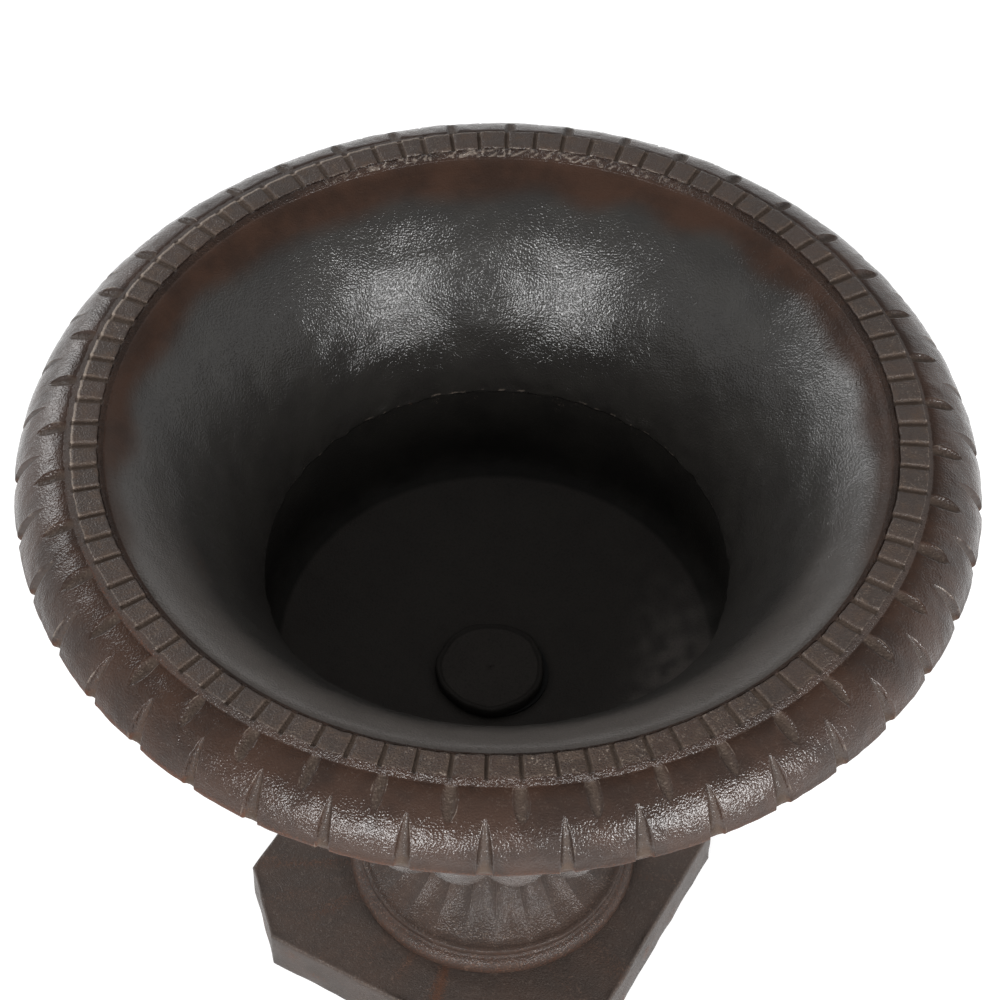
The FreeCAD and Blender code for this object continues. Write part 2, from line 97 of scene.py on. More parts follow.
def even_angles(count):
    """A row of evenly spaced columns' angles, one full turn from the back."""
    return (TURN * np.arange(count) / count - math.pi)[None, :]


# %% Faces of a closed grid
def grid_faces(first, rows, columns):
    """Four-sided faces between neighbouring rows and columns; the last column joins the first."""
    index = first + np.arange(rows * columns).reshape(rows, columns)
    ahead = np.roll(index, -1, axis=1)
    faces = np.stack([index[:-1], ahead[:-1], ahead[1:], index[1:]], axis=-1)
    return faces.reshape(-1, 4)


# %% [markdown]
# The dentils, the gouges and the plain flare need very different numbers of columns. Where two such bands meet,
# a strip of triangles is woven between their rings: the middles of all the ring's edges are sorted by angle, and
# each edge is joined to the point of the other ring that is next to it.


# %% Weave a strip between two rings
def woven_faces(first_a, angles_a, first_b, angles_b):
    """Triangles between ring a and ring b, whose angles both rise from about the same start."""
    middles_a = (angles_a + np.append(angles_a[1:], angles_a[0] + TURN)) / 2
    middles_b = (angles_b + np.append(angles_b[1:], angles_b[0] + TURN)) / 2
    count_a, count_b = len(angles_a), len(angles_b)
    k = np.arange(count_a)
    across = np.searchsorted(middles_b, middles_a, side="left") % count_b
    from_a = np.stack([first_a + k, first_a + (k + 1) % count_a, first_b + across], axis=-1)
    k = np.arange(count_b)
    across = np.searchsorted(middles_a, middles_b, side="right") % count_a
    from_b = np.stack([first_b + (k + 1) % count_b, first_b + k, first_a + across], axis=-1)
    return np.concatenate([from_a, from_b])


def closed_faces(rows, angle):
    """Faces of a grid whose last row is woven to its first."""
    woven = woven_faces((rows - 1) * angle.size, angle[0], 0, angle[0])
    return grid_faces(0, rows, angle.size).tolist() + woven.tolist()


# %% [markdown]
# A section is measured at a few points only. A Bezier curve could round it off. A Catmull-Rom line does so in numpy
# and goes through every measured point.


# %% A smooth line through a section's measured points
def smooth_line(points, steps):
    """Catmull-Rom: between two points the curve leaves each in the direction of its two neighbours."""
    p = np.array(points, float)
    p = np.vstack([2 * p[0] - p[1], p, 2 * p[-1] - p[-2]])
    t = np.arange(steps)[:, None, None] / steps
    a, b, c, d = p[:-3], p[1:-2], p[2:-1], p[3:]
    curve = 0.5 * (2 * b + (c - a) * t + (2 * a - 5 * b + 4 * c - d) * t**2 + (3 * b - a - 3 * c + d) * t**3)
    return np.vstack([curve.transpose(1, 0, 2).reshape(-1, 2), p[-2]])


# %% Directions and ways along a section
def unit(vectors):
    """The same directions with length 1."""
    return vectors / np.linalg.norm(vectors, axis=-1, keepdims=True)


def section_normals(section):
    """The direction out of the metal at each point of a section that runs outwards along the top."""
    way = unit(np.gradient(section, axis=0))
    return np.stack([-way[:, 1], way[:, 0]], axis=-1)


def way_along(line):
    """How far along a line each of its points is."""
    return np.concatenate([[0], np.cumsum(np.linalg.norm(np.diff(line, axis=0), axis=1))])


def row_ways(section):
    """A column of the way along a section at each of its rows, by which a ripple runs on from row to row."""
    return np.cumsum(np.hypot(*np.gradient(section, axis=0).T))[:, None]


# %% [markdown]
# Sand-cast iron is never quite even. A ripple is a sum of waves that run at random angles over the surface;
# each wave goes round the vase a whole number of times, so the surface closes without a seam.


# %% Ripple of a casting's skin
def ripple(angle, along, radius, wavelength, seed, waves=28):
    """Between about -1 and 1: the mean of cosines of (whole turns x angle + wave number x way along)."""
    draw = np.random.default_rng(seed)
    direction = draw.uniform(0, math.pi, waves)
    length = wavelength * draw.uniform(0.7, 1.6, waves)
    turns = np.round(np.cos(direction) * TURN * radius / length)
    number = np.sin(direction) * TURN / length
    phase = draw.uniform(0, TURN, waves)
    total = np.zeros(np.broadcast(angle, along).shape)
    for n, k, p in zip(turns, number, phase):
        total += np.cos(n * angle + k * along + p)
    return total / math.sqrt(waves)


# %% [markdown]
# Cuts, dirt and wear fade in and out. A step is a smooth rise and a hump a soft patch. What was measured in several
# directions is read off its table, round the vase.


# %% Smooth steps, humps and measured tables
def step(low, high, value):
    """0 below low, 1 above high, and a smooth rise between them."""
    share = np.clip((value - low) / (high - low), 0, 1)
    return share * share * (3 - 2 * share)


def hump(value, middle, width, power=2):
    """1 at the middle and less beside it: exp(-((value - middle) / width)^power)."""
    return np.exp(-(((value - middle) / width) ** power))


def read_round(table, angle, column=1):
    """A measured table's column, read round the vase; its first column is degrees from the front."""
    turned = np.degrees(np.arctan2(np.sin(angle), np.cos(angle)))
    return np.interp(turned, table[:, 0], table[:, column])


# %% [markdown]
# Each mesh carries eight marks, one value a point, that steer its finish: `black` down the inside and as painted shade
# on the rim's ramp, `dust` in the cuts, `grain` where the sand's grains stand out, `wear` on edges and as painted
# glints on the ramp, `rust` in patches, `bloom` where the paint has gone grey and as a painted grey sheen on the near
# flare,
# `pitted` where the skin is coarse, and `gloss`, how much of the varnish is left. A mark that isn't named is 0.

# %% Put a surface into a mesh
MARKS = ("black", "dust", "grain", "wear", "rust", "bloom", "pitted", "gloss")


def volume_sign(points, faces):
    """The sign of the sum of the tetrahedra from the origin to each face's first three corners."""
    a, b, c = (points[[f[k] for f in faces]] for k in range(3))
    return np.sign(np.einsum("ij,ij->i", a, np.cross(b, c)).sum())


def piece(name, points, faces, replaced, marks):
    """A closed mesh in metres with the castings' finish and its marks."""
    shape = np.shape(points)[:-1]
    points = np.reshape(points, (-1, 3))
    if volume_sign(points, faces) < 0:
        faces = [f[::-1] for f in faces]
    mesh = bpy.data.meshes.new(name)
    mesh.from_pydata((points * MM).tolist(), [], faces)
    mesh.shade_smooth()
    for name_of_mark in MARKS:
        layer = mesh.attributes.new(name_of_mark, "FLOAT", "POINT")
        values = np.broadcast_to(np.asarray(marks.get(name_of_mark, 0), np.float32), shape)
        layer.data.foreach_set("value", np.ascontiguousarray(values).ravel())
    mesh.materials.append(bell_paint)
    made = bpy.data.objects.new(name, mesh)
    bpy.context.scene.collection.objects.link(made)
    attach(made, "root")
    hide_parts(*replaced)
    triangles = sum(len(f) - 2 for f in faces)
    print(name, len(points), "points", triangles, "triangles")
    return made


# %% [markdown]
# ## Finishes
#
# The castings are grey iron with an old oil paint: dark brown outside, black inside, brushed on thickly, so that
# it shows the fine grain of the sand mould as an orange-peel skin with a soft gloss. Dust and rust gather in the
# cuts, and the paint is thin on the edges. The surface's own marks, made with the mesh, say where that is. A painted
# picture could say it too, but noise with its size in millimetres stays sharp from near and has no seams.


# %% Colours and sizes
def colour(hex_code):
    """An sRGB hex colour as Blender's linear colour."""
    values = [int(hex_code[k : k + 2], 16) / 255 for k in (1, 3, 5)]
    linear = [v / 12.92 if v <= 0.04045 else ((v + 0.055) / 1.055) ** 2.4 for v in values]
    return (*linear, 1.0)


def per_metre(size_mm):
    """A noise texture's scale for marks of about that size."""
    return 1 / (size_mm * MM)


# %% [markdown]
# One helper adds a node. Its inputs are given in their order, without the sockets that the settings switch off, or by
# name, with _ for a space. A value goes straight into its socket, and a node's output is linked.


# %% Add a node, and start a finish
def add_node(tree, kind, settings, *inputs, out=None, **named):
    """One node with its settings and its inputs, which are values or other nodes' outputs; it gives one output."""
    node = tree.nodes.new("ShaderNode" + kind)
    for key, value in settings.items():
        setattr(node, key, value)
    in_use = [socket for socket in node.inputs if socket.enabled]
    pairs = [*zip(in_use, inputs), *((node.inputs[key.replace("_", " ")], named[key]) for key in named)]
    for socket, value in pairs:
        if isinstance(value, bpy.types.NodeSocket):
            tree.links.new(value, socket)
        else:
            socket.default_value = value
    if out is None:
        return next((socket for socket in node.outputs if socket.enabled), None)
    return node.outputs[out]


def new_finish(name):
    """An empty material and add_node for its tree."""
    finish = bpy.data.materials.new(name)
    finish.use_nodes = True
    finish.node_tree.nodes.clear()
    return finish, partial(add_node, finish.node_tree)


# Settings of the nodes used: a smooth spread of a range, a mix of colours, and sums
SMOOTH = {"interpolation_type": "SMOOTHSTEP"}
RGBA = {"data_type": "RGBA", "clamp_factor": True}
TIMES, PLUS, MINUS, LARGER = ({"operation": name} for name in ("MULTIPLY", "ADD", "SUBTRACT", "MAXIMUM"))

# %% [markdown]
# One finish covers the castings, and the marks steer it. The ground under the varnish is matt, so all the shine comes
# from the varnish, which follows the orange peel. The varnish is the shader's coat, with an oil varnish's IOR.

# %% Painted cast iron
BROWN = "#2c1c13"
BROWN_LIGHT = "#3a261b"
BLACK = "#100f0d"
BLACK_LIGHT = "#1b1a17"
DUST = "#54473e"
TAN = "#8f8277"
# The grey of bloomed paint, which also paints a grey sheen on the near flare
BLOOM_AND_SHEEN = "#5f5955"
RUST = "#56321f"
# Sizes in millimetres. Moulding sand has grains of 0.2 to 0.4 mm, too fine to show, so grit and peel are coarser here
GRIT = 1.3
PEEL_SIZE = 1.1
CLUSTER_SIZE = 5.0
BRUSHED_SIZE = 6.5
PATCH_SIZE = 30.0
PEEL = 0.42
VARNISH_IOR = 1.47


def painted_iron(name):
    """Old paint on sand-cast iron: patchy colour, a varnished orange-peel bump of about 1 mm, dust and wear, and the
    painted sheen, shade and glints that the marks put on.
    """
    finish, add = new_finish(name)
    place = add("TexCoord", {}, out="Object")
    marks = {key: add("Attribute", {"attribute_name": key}, out="Fac") for key in MARKS}
    specks = add("TexNoise", {}, place, per_metre(GRIT), 2.0, 0.7)
    patches = add("MapRange", SMOOTH, add("TexNoise", {}, place, per_metre(PATCH_SIZE), 4.0, 0.6), 0.36, 0.64)
    inside = add("Mix", RGBA, patches, colour(BLACK), colour(BLACK_LIGHT))
    # The bloom mark greys the paint, and on the near flare it paints a grey sheen, a painted reflection
    grey = add("Math", TIMES, marks["bloom"], add("MapRange", SMOOTH, specks, 0.25, 0.6, 0.6, 1.0))
    rusty = add("MapRange", SMOOTH, add("Math", PLUS, marks["rust"], specks), 0.85, 1.3)
    dusty = add("Math", PLUS, marks["dust"], add("Math", TIMES, specks, 0.7))
    dusty = add("MapRange", SMOOTH, dusty, 0.55, 1.25)
    clusters = add("MapRange", SMOOTH, add("TexNoise", {}, place, per_metre(CLUSTER_SIZE), 1.0, 0.55), 0.42, 0.62)
    grains = add("Math", TIMES, add("MapRange", SMOOTH, specks, 0.54, 0.66), clusters)
    # The wear mark lightens worn edges, and on the rim's ramp it paints glints, a painted highlight
    worn = add("Math", PLUS, marks["wear"], add("Math", TIMES, specks, 0.5))
    paint = add("Mix", RGBA, patches, colour(BROWN), colour(BROWN_LIGHT))
    # The black mark lays on the black paint inside, and on the rim's ramp it paints shade
    for share, layer in (
        (marks["black"], inside), (grey, colour(BLOOM_AND_SHEEN)), (rusty, colour(RUST)), (dusty, colour(DUST)),
        (add("Math", TIMES, grains, marks["grain"]), colour(TAN)),
        (add("MapRange", SMOOTH, worn, 0.55, 1.15), colour(TAN)),
    ):
        paint = add("Mix", RGBA, share, paint, layer)
    varnish = add("Math", TIMES, marks["gloss"], add("Math", MINUS, 1.0, add("Math", TIMES, dusty, 0.8)))
    strength = add("Math", PLUS, add("Math", TIMES, marks["grain"], 0.45), PEEL)
    strength = add("Math", PLUS, add("Math", TIMES, marks["pitted"], 0.8), strength)
    fine = add("TexNoise", {}, place, per_metre(PEEL_SIZE), 1.0, 0.5)
    skin = add("Bump", {}, Strength=strength, Distance=0.8 * MM, Height=fine)
    coarse = add("TexNoise", {}, place, per_metre(BRUSHED_SIZE), 1.0, 0.55)
    skin = add("Bump", {}, Strength=0.12, Distance=1.6 * MM, Height=coarse, Normal=skin)
    shader = add(
        "BsdfPrincipled", {}, Base_Color=paint, Roughness=add("MapRange", SMOOTH, specks, 0.3, 0.7, 0.62, 0.8),
        Specular_IOR_Level=0.2, Normal=skin,
        Coat_Weight=varnish, Coat_Roughness=0.13, Coat_IOR=VARNISH_IOR, Coat_Normal=skin,
    )
    add("OutputMaterial", {}, shader)
    return finish


bell_paint = painted_iron("oil_paint_on_sand_cast_iron")
print("finish:", bell_paint.name)

# %% [markdown]
# ## The bell
#
# The bell is one casting and one closed mesh of four bands: the flare inside, the dentil ring on top, the roll
# outside and the plain underside. Its section is read off the photograph and off the CAD model's measures. `drop`
# is the way down from the highest ring, the dentils. Boolean cutters could carve a turned profile, but they leave
# ragged edges where cast ones are soft, so each band has columns that follow its own cuts.

# %% [markdown]
# The flare is the bell's inside, black and smooth to the hand. It falls from the sharp arris to the throat, where the
# seam with the bowl is rough. One random generator, `draw`, makes the small differences of hand work on the whole bell.

# %% The flare, from the throat up to the sharp arris
draw = np.random.default_rng(43)
ARRIS_RADIUS = 213.1
ARRIS_DROP = 3.9
THROAT_RADIUS = 134.0
THROAT_DROP = 123.0
FLARE_COLUMNS = 344
FLARE_ROWS = 33


def flare_section(share):
    """Radius falls evenly; the drop grows by 1 - (1 - share^1.3)^0.65, steepest at the throat."""
    radius = ARRIS_RADIUS - (ARRIS_RADIUS - THROAT_RADIUS) * share
    return radius, ARRIS_DROP + (THROAT_DROP - ARRIS_DROP) * (1 - (1 - share**1.3) ** 0.65)


share = 1 - np.linspace(0, 1, FLARE_ROWS) ** 2 * 0.999
flare_r, flare_drop = flare_section(share)
flare_way = way_along(np.stack([flare_r, flare_drop], axis=-1))
flare_edge_way = flare_way[-1] - flare_way
print("flare:", FLARE_ROWS, "rows,", round(flare_way[-1], 1), "mm along the section")

# %% The flare's points
flare_angle = even_angles(FLARE_COLUMNS)
way = flare_edge_way[:, None]
near_throat = 1 - step(2.0, 16.0, flare_way)[:, None]
skin = 0.22 * ripple(flare_angle, way, 170, 30, 1) + 0.10 * ripple(flare_angle, way, 170, 13, 2)
hammered = ripple(flare_angle, way, 136, 11, 3, 40) * near_throat * 0.55
inward = (skin + hammered) * step(0.0, 6.0, flare_edge_way)[:, None]
flare_normal = section_normals(np.stack([flare_r, -flare_drop], axis=-1))
flare_radius = flare_r[:, None] + flare_normal[:, :1] * inward
flare_level = rim_z - flare_drop[:, None] + flare_normal[:, 1:] * inward
flare_points = ring_points(flare_radius, flare_angle, flare_level)
print("flare:", flare_points.shape[0] * flare_points.shape[1], "points")

# %% [markdown]
# Inside, the bell is black. At the front its top is painted grey, a painted reflection of the white surroundings
# at a grazing angle. Crumbs of old putty sit at the throat's seam, and a brown patch shows at the left.

# %% The flare's marks
edge_wave = 4.0 * ripple(flare_angle, 0 * way, 200, 60, 4)
at_back = (1 - np.cos(flare_angle)) / 2
flare_black = step(13.0, 27.0, way + edge_wave + 34 * (1 - at_back) ** 2)
crust = np.maximum(ripple(flare_angle, way, 140, 8, 5, 40), 0) * near_throat * 0.8
left_side = hump(flare_angle, -1.25, 0.45)
patch = hump(flare_angle, -1.15, 0.2) * hump(flare_r[:, None], 175, 9)
flecks = np.clip(ripple(flare_angle, way, 150, 4.5, 18, 40) - 0.9, 0, 1) * (1 - step(10, 42, flare_way)[:, None])
seam = step(-0.4, 0.9, ripple(flare_angle, 0 * way, 136, 7, 19, 40)) * hump(flare_way, 2.2, 1.0)[:, None]
# Painted reflection: the grey sheen at the top of the near flare is painted into the colour here
front_painted_sheen = hump(flare_angle, 0, 1.25, 4) * (1 - step(22, 60, way))
flare_marks = {
    "black": flare_black,
    "dust": np.clip(0.25 * crust + 0.3 * patch, 0, 1),
    "grain": 0.3 * crust * left_side,
    "wear": 0.3 * (way < 0.8) * at_back**3 + 0.9 * flecks * left_side + 0.95 * seam * (0.3 + 0.7 * at_back),
    "rust": np.clip(0.35 * patch + 0.25 * crust, 0, 1),
    "bloom": np.clip(0.85 * front_painted_sheen + 0.12 * flare_black, 0, 1),
    "pitted": 0.5 * crust,
    "gloss": 0.12 + 0.88 * flare_black * (0.55 + 0.45 * at_back),
}
print("flare's marks:", *flare_marks)

# %% [markdown]
# Outside the arris a rough ramp climbs to the dentils: 86 flat pads, the highest ring of the vase, with tooled gaps
# between them. The pattern maker spaced them by eye and set the ring a little off the axis, so both their places and
# the two circles at their ends are measured. Columns follow the gaps: floor, wall, bevel, and then the pad's face.
# Outside the pads a granular flank falls to the cove, where the roll begins.

# %% The dentil ring's layout
DENTILS = 86
FIRST_DENTIL = math.radians(-180.89)
# How far each gap is from its even place, in tenths of a degree, from the back over the left side and the front
GAP_OFFSETS = np.array([
    4, 4, 3, 5, -3, -4, -2, -1, -1, 9, 10, 6, 3, 5, 8, 6, 7, 7, 5, 3, -1, -2, -2, -3, -6, -8, -1, -3, -6, -2,
    -7, -9, -5, -3, -7, -9, -10, -12, -9, -8, -6, -5, -3, 0, 2, 5, 3, -4, -2, -6, -4, -6, -3, -2, 0, -1, -1, -3,
    -2, -3, -5, -4, 3, 5, 5, 0, -2, 2, 2, 2, 2, 2, 0, 3, 1, 1, 5, 6, 8, 5, 2, 4, 0, 3, 3, 3,
]) / 10
# Degrees from the front, and the radii at which the pads begin and end
PAD_ENDS = np.array([
    (-180, 220.4, 233.8), (-170, 219.4, 232.9), (-155, 218.3, 231.8), (-140, 218.2, 231.1), (-120, 218.5, 231.9),
    (-90, 217.1, 231.0), (-60, 216.5, 230.7), (-30, 216.3, 230.0), (0, 216.0, 229.3), (30, 216.0, 229.6),
    (60, 216.8, 231.0), (90, 217.1, 232.5), (110, 217.8, 232.9), (130, 219.5, 232.4), (150, 220.7, 234.2),
    (165, 221.2, 235.0), (180, 220.4, 233.8),
])
print("dentils:", DENTILS, "with gaps out of place by up to", np.abs(GAP_OFFSETS).max(), "degrees")

# %% Columns from gap to gap
gap_centre = FIRST_DENTIL + TURN * np.arange(DENTILS) / DENTILS
gap_half = (1.3 + 0.6 * np.abs(np.sin(gap_centre))) * draw.uniform(0.85, 1.15, DENTILS)
gap_centre = gap_centre + np.radians(GAP_OFFSETS)
GAP_STEPS = np.array([0.0, 0.8, 1.0, 1.5])
GAP_RISE = np.array([0.0, 0.02, 0.75, 1.0])
PAD_SHARES = np.array([0.12, 0.37, 0.63, 0.88])
TOOL_RADIUS = 224.0


def dentil_columns():
    """Angles and rise, 0 in a gap and 1 on a pad, of the columns from each gap's middle to the next."""
    out = gap_half[:, None] * GAP_STEPS / TOOL_RADIUS
    following = np.append(gap_centre[1:], gap_centre[0] + TURN)
    next_half = np.roll(gap_half, -1)[:, None] * GAP_STEPS / TOOL_RADIUS
    start = gap_centre[:, None] + out
    end = following[:, None] - next_half[:, :0:-1]
    pad = start[:, -1:] + (end[:, :1] - start[:, -1:]) * PAD_SHARES
    rise = np.concatenate([GAP_RISE, np.ones(len(PAD_SHARES)), GAP_RISE[:0:-1]])
    angle = np.concatenate([start, pad, end], axis=1)
    return angle, np.broadcast_to(rise, angle.shape)


dentil_angle, dentil_rise = dentil_columns()
print("dentil ring:", dentil_angle.size, "columns")

# %% The dentil ring's section: arris, ramp, pad, flank
GAP_DROP = 2.4
COVE_RADIUS = 235.0
COVE_DROP = 3.4


def pad_end(angle, outer):
    """The radius at which the pads begin or end."""
    return read_round(PAD_ENDS, angle, 2 if outer else 1) + 0.25 * ripple(angle, 0 * angle, 224, 9, 8, 40)


def cove_radius(angle):
    """The radius of the line where the flank meets the roll."""
    return COVE_RADIUS - 1.7 * np.cos(angle)


# Each row: a share of the way from the arris to the pads, across the pads, and from them to the cove, a step in
# millimetres outwards, the drop, and how much of it a gap cuts
DENTIL_SECTION = np.array([
    (0, 0, 0, 0.05, 3.6, 0), (0, 0, 0, 0.3, 3.25, 0), (0.15, 0, 0, 0.2, 2.75, 0), (0.4, 0, 0, 0, 1.95, 0),
    (0.65, 0, 0, 0, 1.5, 0), (0.86, 0, 0, 0, 1.4, 0), (1, 0, 0, -0.4, 1.8, 0.2), (1, 0, 0, -0.1, 1.5, 0.7),
    (1, 0, 0, 0.1, 0.9, 1), (1, 0, 0, 0.5, 0.5, 1), (1, 0, 0, 1.2, 0.4, 1), (1, 0.3, 0, 0, 0.4, 1),
    (1, 0.6, 0, 0, 0.4, 1), (1, 0.85, 0, 0, 0.4, 1), (1, 1, 0, -0.9, 0.42, 1), (1, 1, 0, -0.2, 0.6, 0.9),
    (1, 1, 0.15, 0, 0.95, 0.5), (1, 1, 0.4, 0, 1.6, 0.1), (1, 1, 0.7, 0, 2.5, 0), (1, 1, 0.9, 0, 3.15, 0),
])
print("dentil ring:", len(DENTIL_SECTION), "rows")

# %% The dentil ring's points
to_pads, across, to_cove, outwards, dentil_drop, in_gap = DENTIL_SECTION.T[:, :, None]
pad_number = np.repeat(np.arange(DENTILS), dentil_angle.shape[1])[None, :]
angle = dentil_angle.reshape(1, -1)
rise = dentil_rise.reshape(1, -1)
first, last = pad_end(angle, False), pad_end(angle, True)
dentil_r = ARRIS_RADIUS + (first - ARRIS_RADIUS) * to_pads + (last - first) * across + outwards
dentil_r = dentil_r + (cove_radius(angle) - last) * to_cove
pad_height = draw.uniform(-0.12, 0.12, DENTILS)[pad_number]
pad_tilt = draw.uniform(-0.01, 0.01, DENTILS)[pad_number]
on_pad = (in_gap > 0.85) & (to_cove == 0)
uneven = 0.2 * ripple(angle, dentil_r, 224, 7, 6, 40) + pad_height + pad_tilt * (dentil_r - 224)
drop = dentil_drop - on_pad * uneven * rise
cut = (1 - rise) * in_gap
drop = drop * (1 - cut) + np.maximum(GAP_DROP, dentil_drop) * cut
ramp = (to_pads > 0.05) & (outwards < 0.5) & (in_gap < 0.8) & (across == 0)
flank = to_cove > 0
drop = drop + np.where(ramp | flank, 0.25 * ripple(angle, dentil_r, 216, 4, 7, 40), 0)
drop = np.maximum(drop, 0.02)
dentil_points = ring_points(dentil_r, angle, rim_z - drop)
print("dentil ring:", dentil_points.shape[0] * dentil_points.shape[1], "points")

# %% [markdown]
# The dentils' faces are dusty, with grains that stand out here and there, most of all right of the front. Their edges
# are worn thin at the back left. On the ramp, glints at the back are painted highlights in the wear colour, and away
# from the back the ramp is darkened with the black paint as painted shade.

# %% The dentil ring's marks
bevel = hump(rise, 0.8, 0.25) * in_gap
lone = draw.uniform(0, 1, DENTILS)[pad_number]
near_right = hump(angle, 0.2, 0.45)
speckled = np.where(lone > 0.6, 0.25 + 0.45 * lone, 0.1) * (0.5 + 0.5 * near_right) + 0.35 * near_right
ramp_back = hump(np.abs(angle), math.pi, 0.62, 4)
flank_front = hump(angle, 0.08, 0.75, 4)
worn_edge = hump(angle, -2.2, 0.85, 4) * (((outwards == -0.9) | (outwards == -0.2)) & (across == 1))
# Painted highlight: glints on the ramp at the back, painted in the tan wear colour
glints = step(-0.5, 0.6, ripple(angle, dentil_r, 216, 3.5, 31, 60)) * ramp * ramp_back
blotches = np.clip(ripple(angle, dentil_r, 224, 10, 32, 40), 0, 1) * on_pad
rusty_flank = flank * to_cove * hump(angle, -0.95, 0.4)
dentil_marks = {
    # Painted shade: the ramp is darkened with black paint away from the back
    "black": 0.35 * ramp * (1 - ramp_back),
    "dust": np.clip(0.7 * cut + (0.2 * speckled + 0.25 + 0.35 * blotches) * on_pad, 0, 1),
    "grain": np.clip(speckled * on_pad * rise, 0, 1),
    "wear": np.clip(
        0.42 * bevel + 0.3 * (outwards == -0.2) * (1 - near_right) + 0.6 * worn_edge + 0.75 * glints, 0, 1
    ),
    "rust": np.clip(0.15 + 0.3 * blotches + 0.45 * rusty_flank, 0, 1),
    "bloom": np.clip((0.4 - 0.2 * near_right) * on_pad + 0.3 * cut + 0.3 * flank * (1 - flank_front), 0, 1),
    "pitted": np.clip(ramp + 0.8 * flank + 0.55 * on_pad, 0, 1),
    "gloss": np.where(ramp, 0.1 + 0.9 * ramp_back, np.where(flank, 0.2 + 0.8 * flank_front, 0.35)),
}
print("dentil ring's marks:", *dentil_marks)

# %% [markdown]
# The roll is one round swelling with two rows of gouges, 43 in each. The inner ones are leaf-shaped cuts that start in
# the cove. The outer ones are long lancets that run over the shoulder. A cut is worked out across its width:
# depth x (1 - |distance / half width|^power), and its edge stands up a little.

# %% The roll's section
ROLL_KEYS = np.array([
    (COVE_RADIUS, COVE_DROP), (236.4, 3.45), (238.6, 3.8), (242, 4.7), (246, 6.3), (250, 8.6), (254, 11.7),
    (257.4, 15.1), (260.2, 18.8), (262.6, 23.1), (264.3, 27.4), (265.15, 31.2), (264.4, 34.2), (262.0, 36.7),
])
roll_line = smooth_line(ROLL_KEYS * (1, -1), 10)
roll_way = way_along(roll_line)
row_way = np.concatenate([[0, 0.7, 1.6, 2.7, 3.9], np.linspace(5.2, roll_way[-1], 32)])
ROLL_ROWS = len(row_way)
roll_r = np.interp(row_way, roll_way, roll_line[:, 0])
roll_z = np.interp(row_way, roll_way, roll_line[:, 1])
roll_normal = section_normals(np.stack([roll_r, roll_z], axis=-1))
print("roll:", ROLL_ROWS, "rows over", round(roll_way[-1], 1), "mm")

# %% How wide and deep the gouges are along the roll
GOUGES = 43
rising = roll_line[:, 0] < 258


def way_at(radius):
    """How far along the section the roll first has that radius."""
    return np.interp(radius, roll_line[rising, 0], roll_way[rising])


tip_way = way_at(248.3)
inner_start = 0.2
inner_length = way_at(251.3) - inner_start
inner_share = np.clip((row_way - inner_start) / inner_length, 0, 1)
inner_half = np.interp(inner_share, (0, 0.1, 0.35, 0.65, 0.88, 1), (3.2, 3.8, 4.2, 3.7, 2.2, 0.6))
inner_depth = np.interp(inner_share, (0, 0.1, 0.3, 0.6, 0.85, 1), (1.2, 1.9, 2.4, 2.1, 1.0, 0))
gouge_back = (1 - np.cos(FIRST_DENTIL + TURN * (np.arange(GOUGES) + 0.5) / GOUGES)) / 2
outer_start = tip_way + 3.5 * gouge_back**3
outer_length = roll_way[-1] - outer_start
outer_share = np.clip((row_way[:, None] - outer_start) / outer_length, 0, 1)
outer_half = np.interp(outer_share, (0, 0.12, 0.28, 0.5, 0.75, 1), (0.4, 1.7, 3.0, 4.1, 4.7, 4.3))
outer_depth = np.interp(outer_share, (0, 0.08, 0.2, 0.45, 0.75, 0.93, 1), (0, 0.7, 1.9, 3.6, 3.6, 1.8, 0.8))
print("inner gouges", round(inner_length, 1), "mm long, outer", np.round(outer_length[[0, 21]], 1), "mm")

# %% Where the gouges are, and how large
jitter = np.radians(draw.uniform(-0.12, 0.12, (2, GOUGES)))
inner_angle = FIRST_DENTIL + TURN * np.arange(GOUGES) / GOUGES + jitter[0]
outer_angle = FIRST_DENTIL + TURN * (np.arange(GOUGES) + 0.5) / GOUGES + jitter[1]
# At the front the outer gouges stand a little further apart
APART = np.array([(-1.05, 0), (-0.73, -0.014), (-0.44, -0.016), (0, 0), (0.14, 0.01), (0.44, 0.01), (1.05, 0)])
outer_angle += np.interp(outer_angle, *APART.T)
inner_size, outer_size = draw.uniform(0.82, 1.14, (2, GOUGES))
print("gouges:", 2 * GOUGES, "of sizes", np.round([inner_size.min(), outer_size.max()], 2))

# %% Columns that follow the gouges' edges
ACROSS = np.array([0, 0.3, 0.6, 0.85, 1.0])
BESIDE = np.array([0.6, 1.6])
BETWEEN = np.arange(1, 6) / 6


def half_cell(half_from, half_to, span):
    """Distances from one cut's middle towards the next: across the cut, beside it, between, and in again."""
    near = np.concatenate([half_from * ACROSS, half_from + BESIDE], axis=-1)
    far = np.concatenate([half_to + BESIDE[::-1], half_to * ACROSS[:0:-1]], axis=-1)
    start, end = near[..., -1:], span - far[..., :1]
    return np.concatenate([near, start + (end - start) * BETWEEN, span - far], axis=-1)


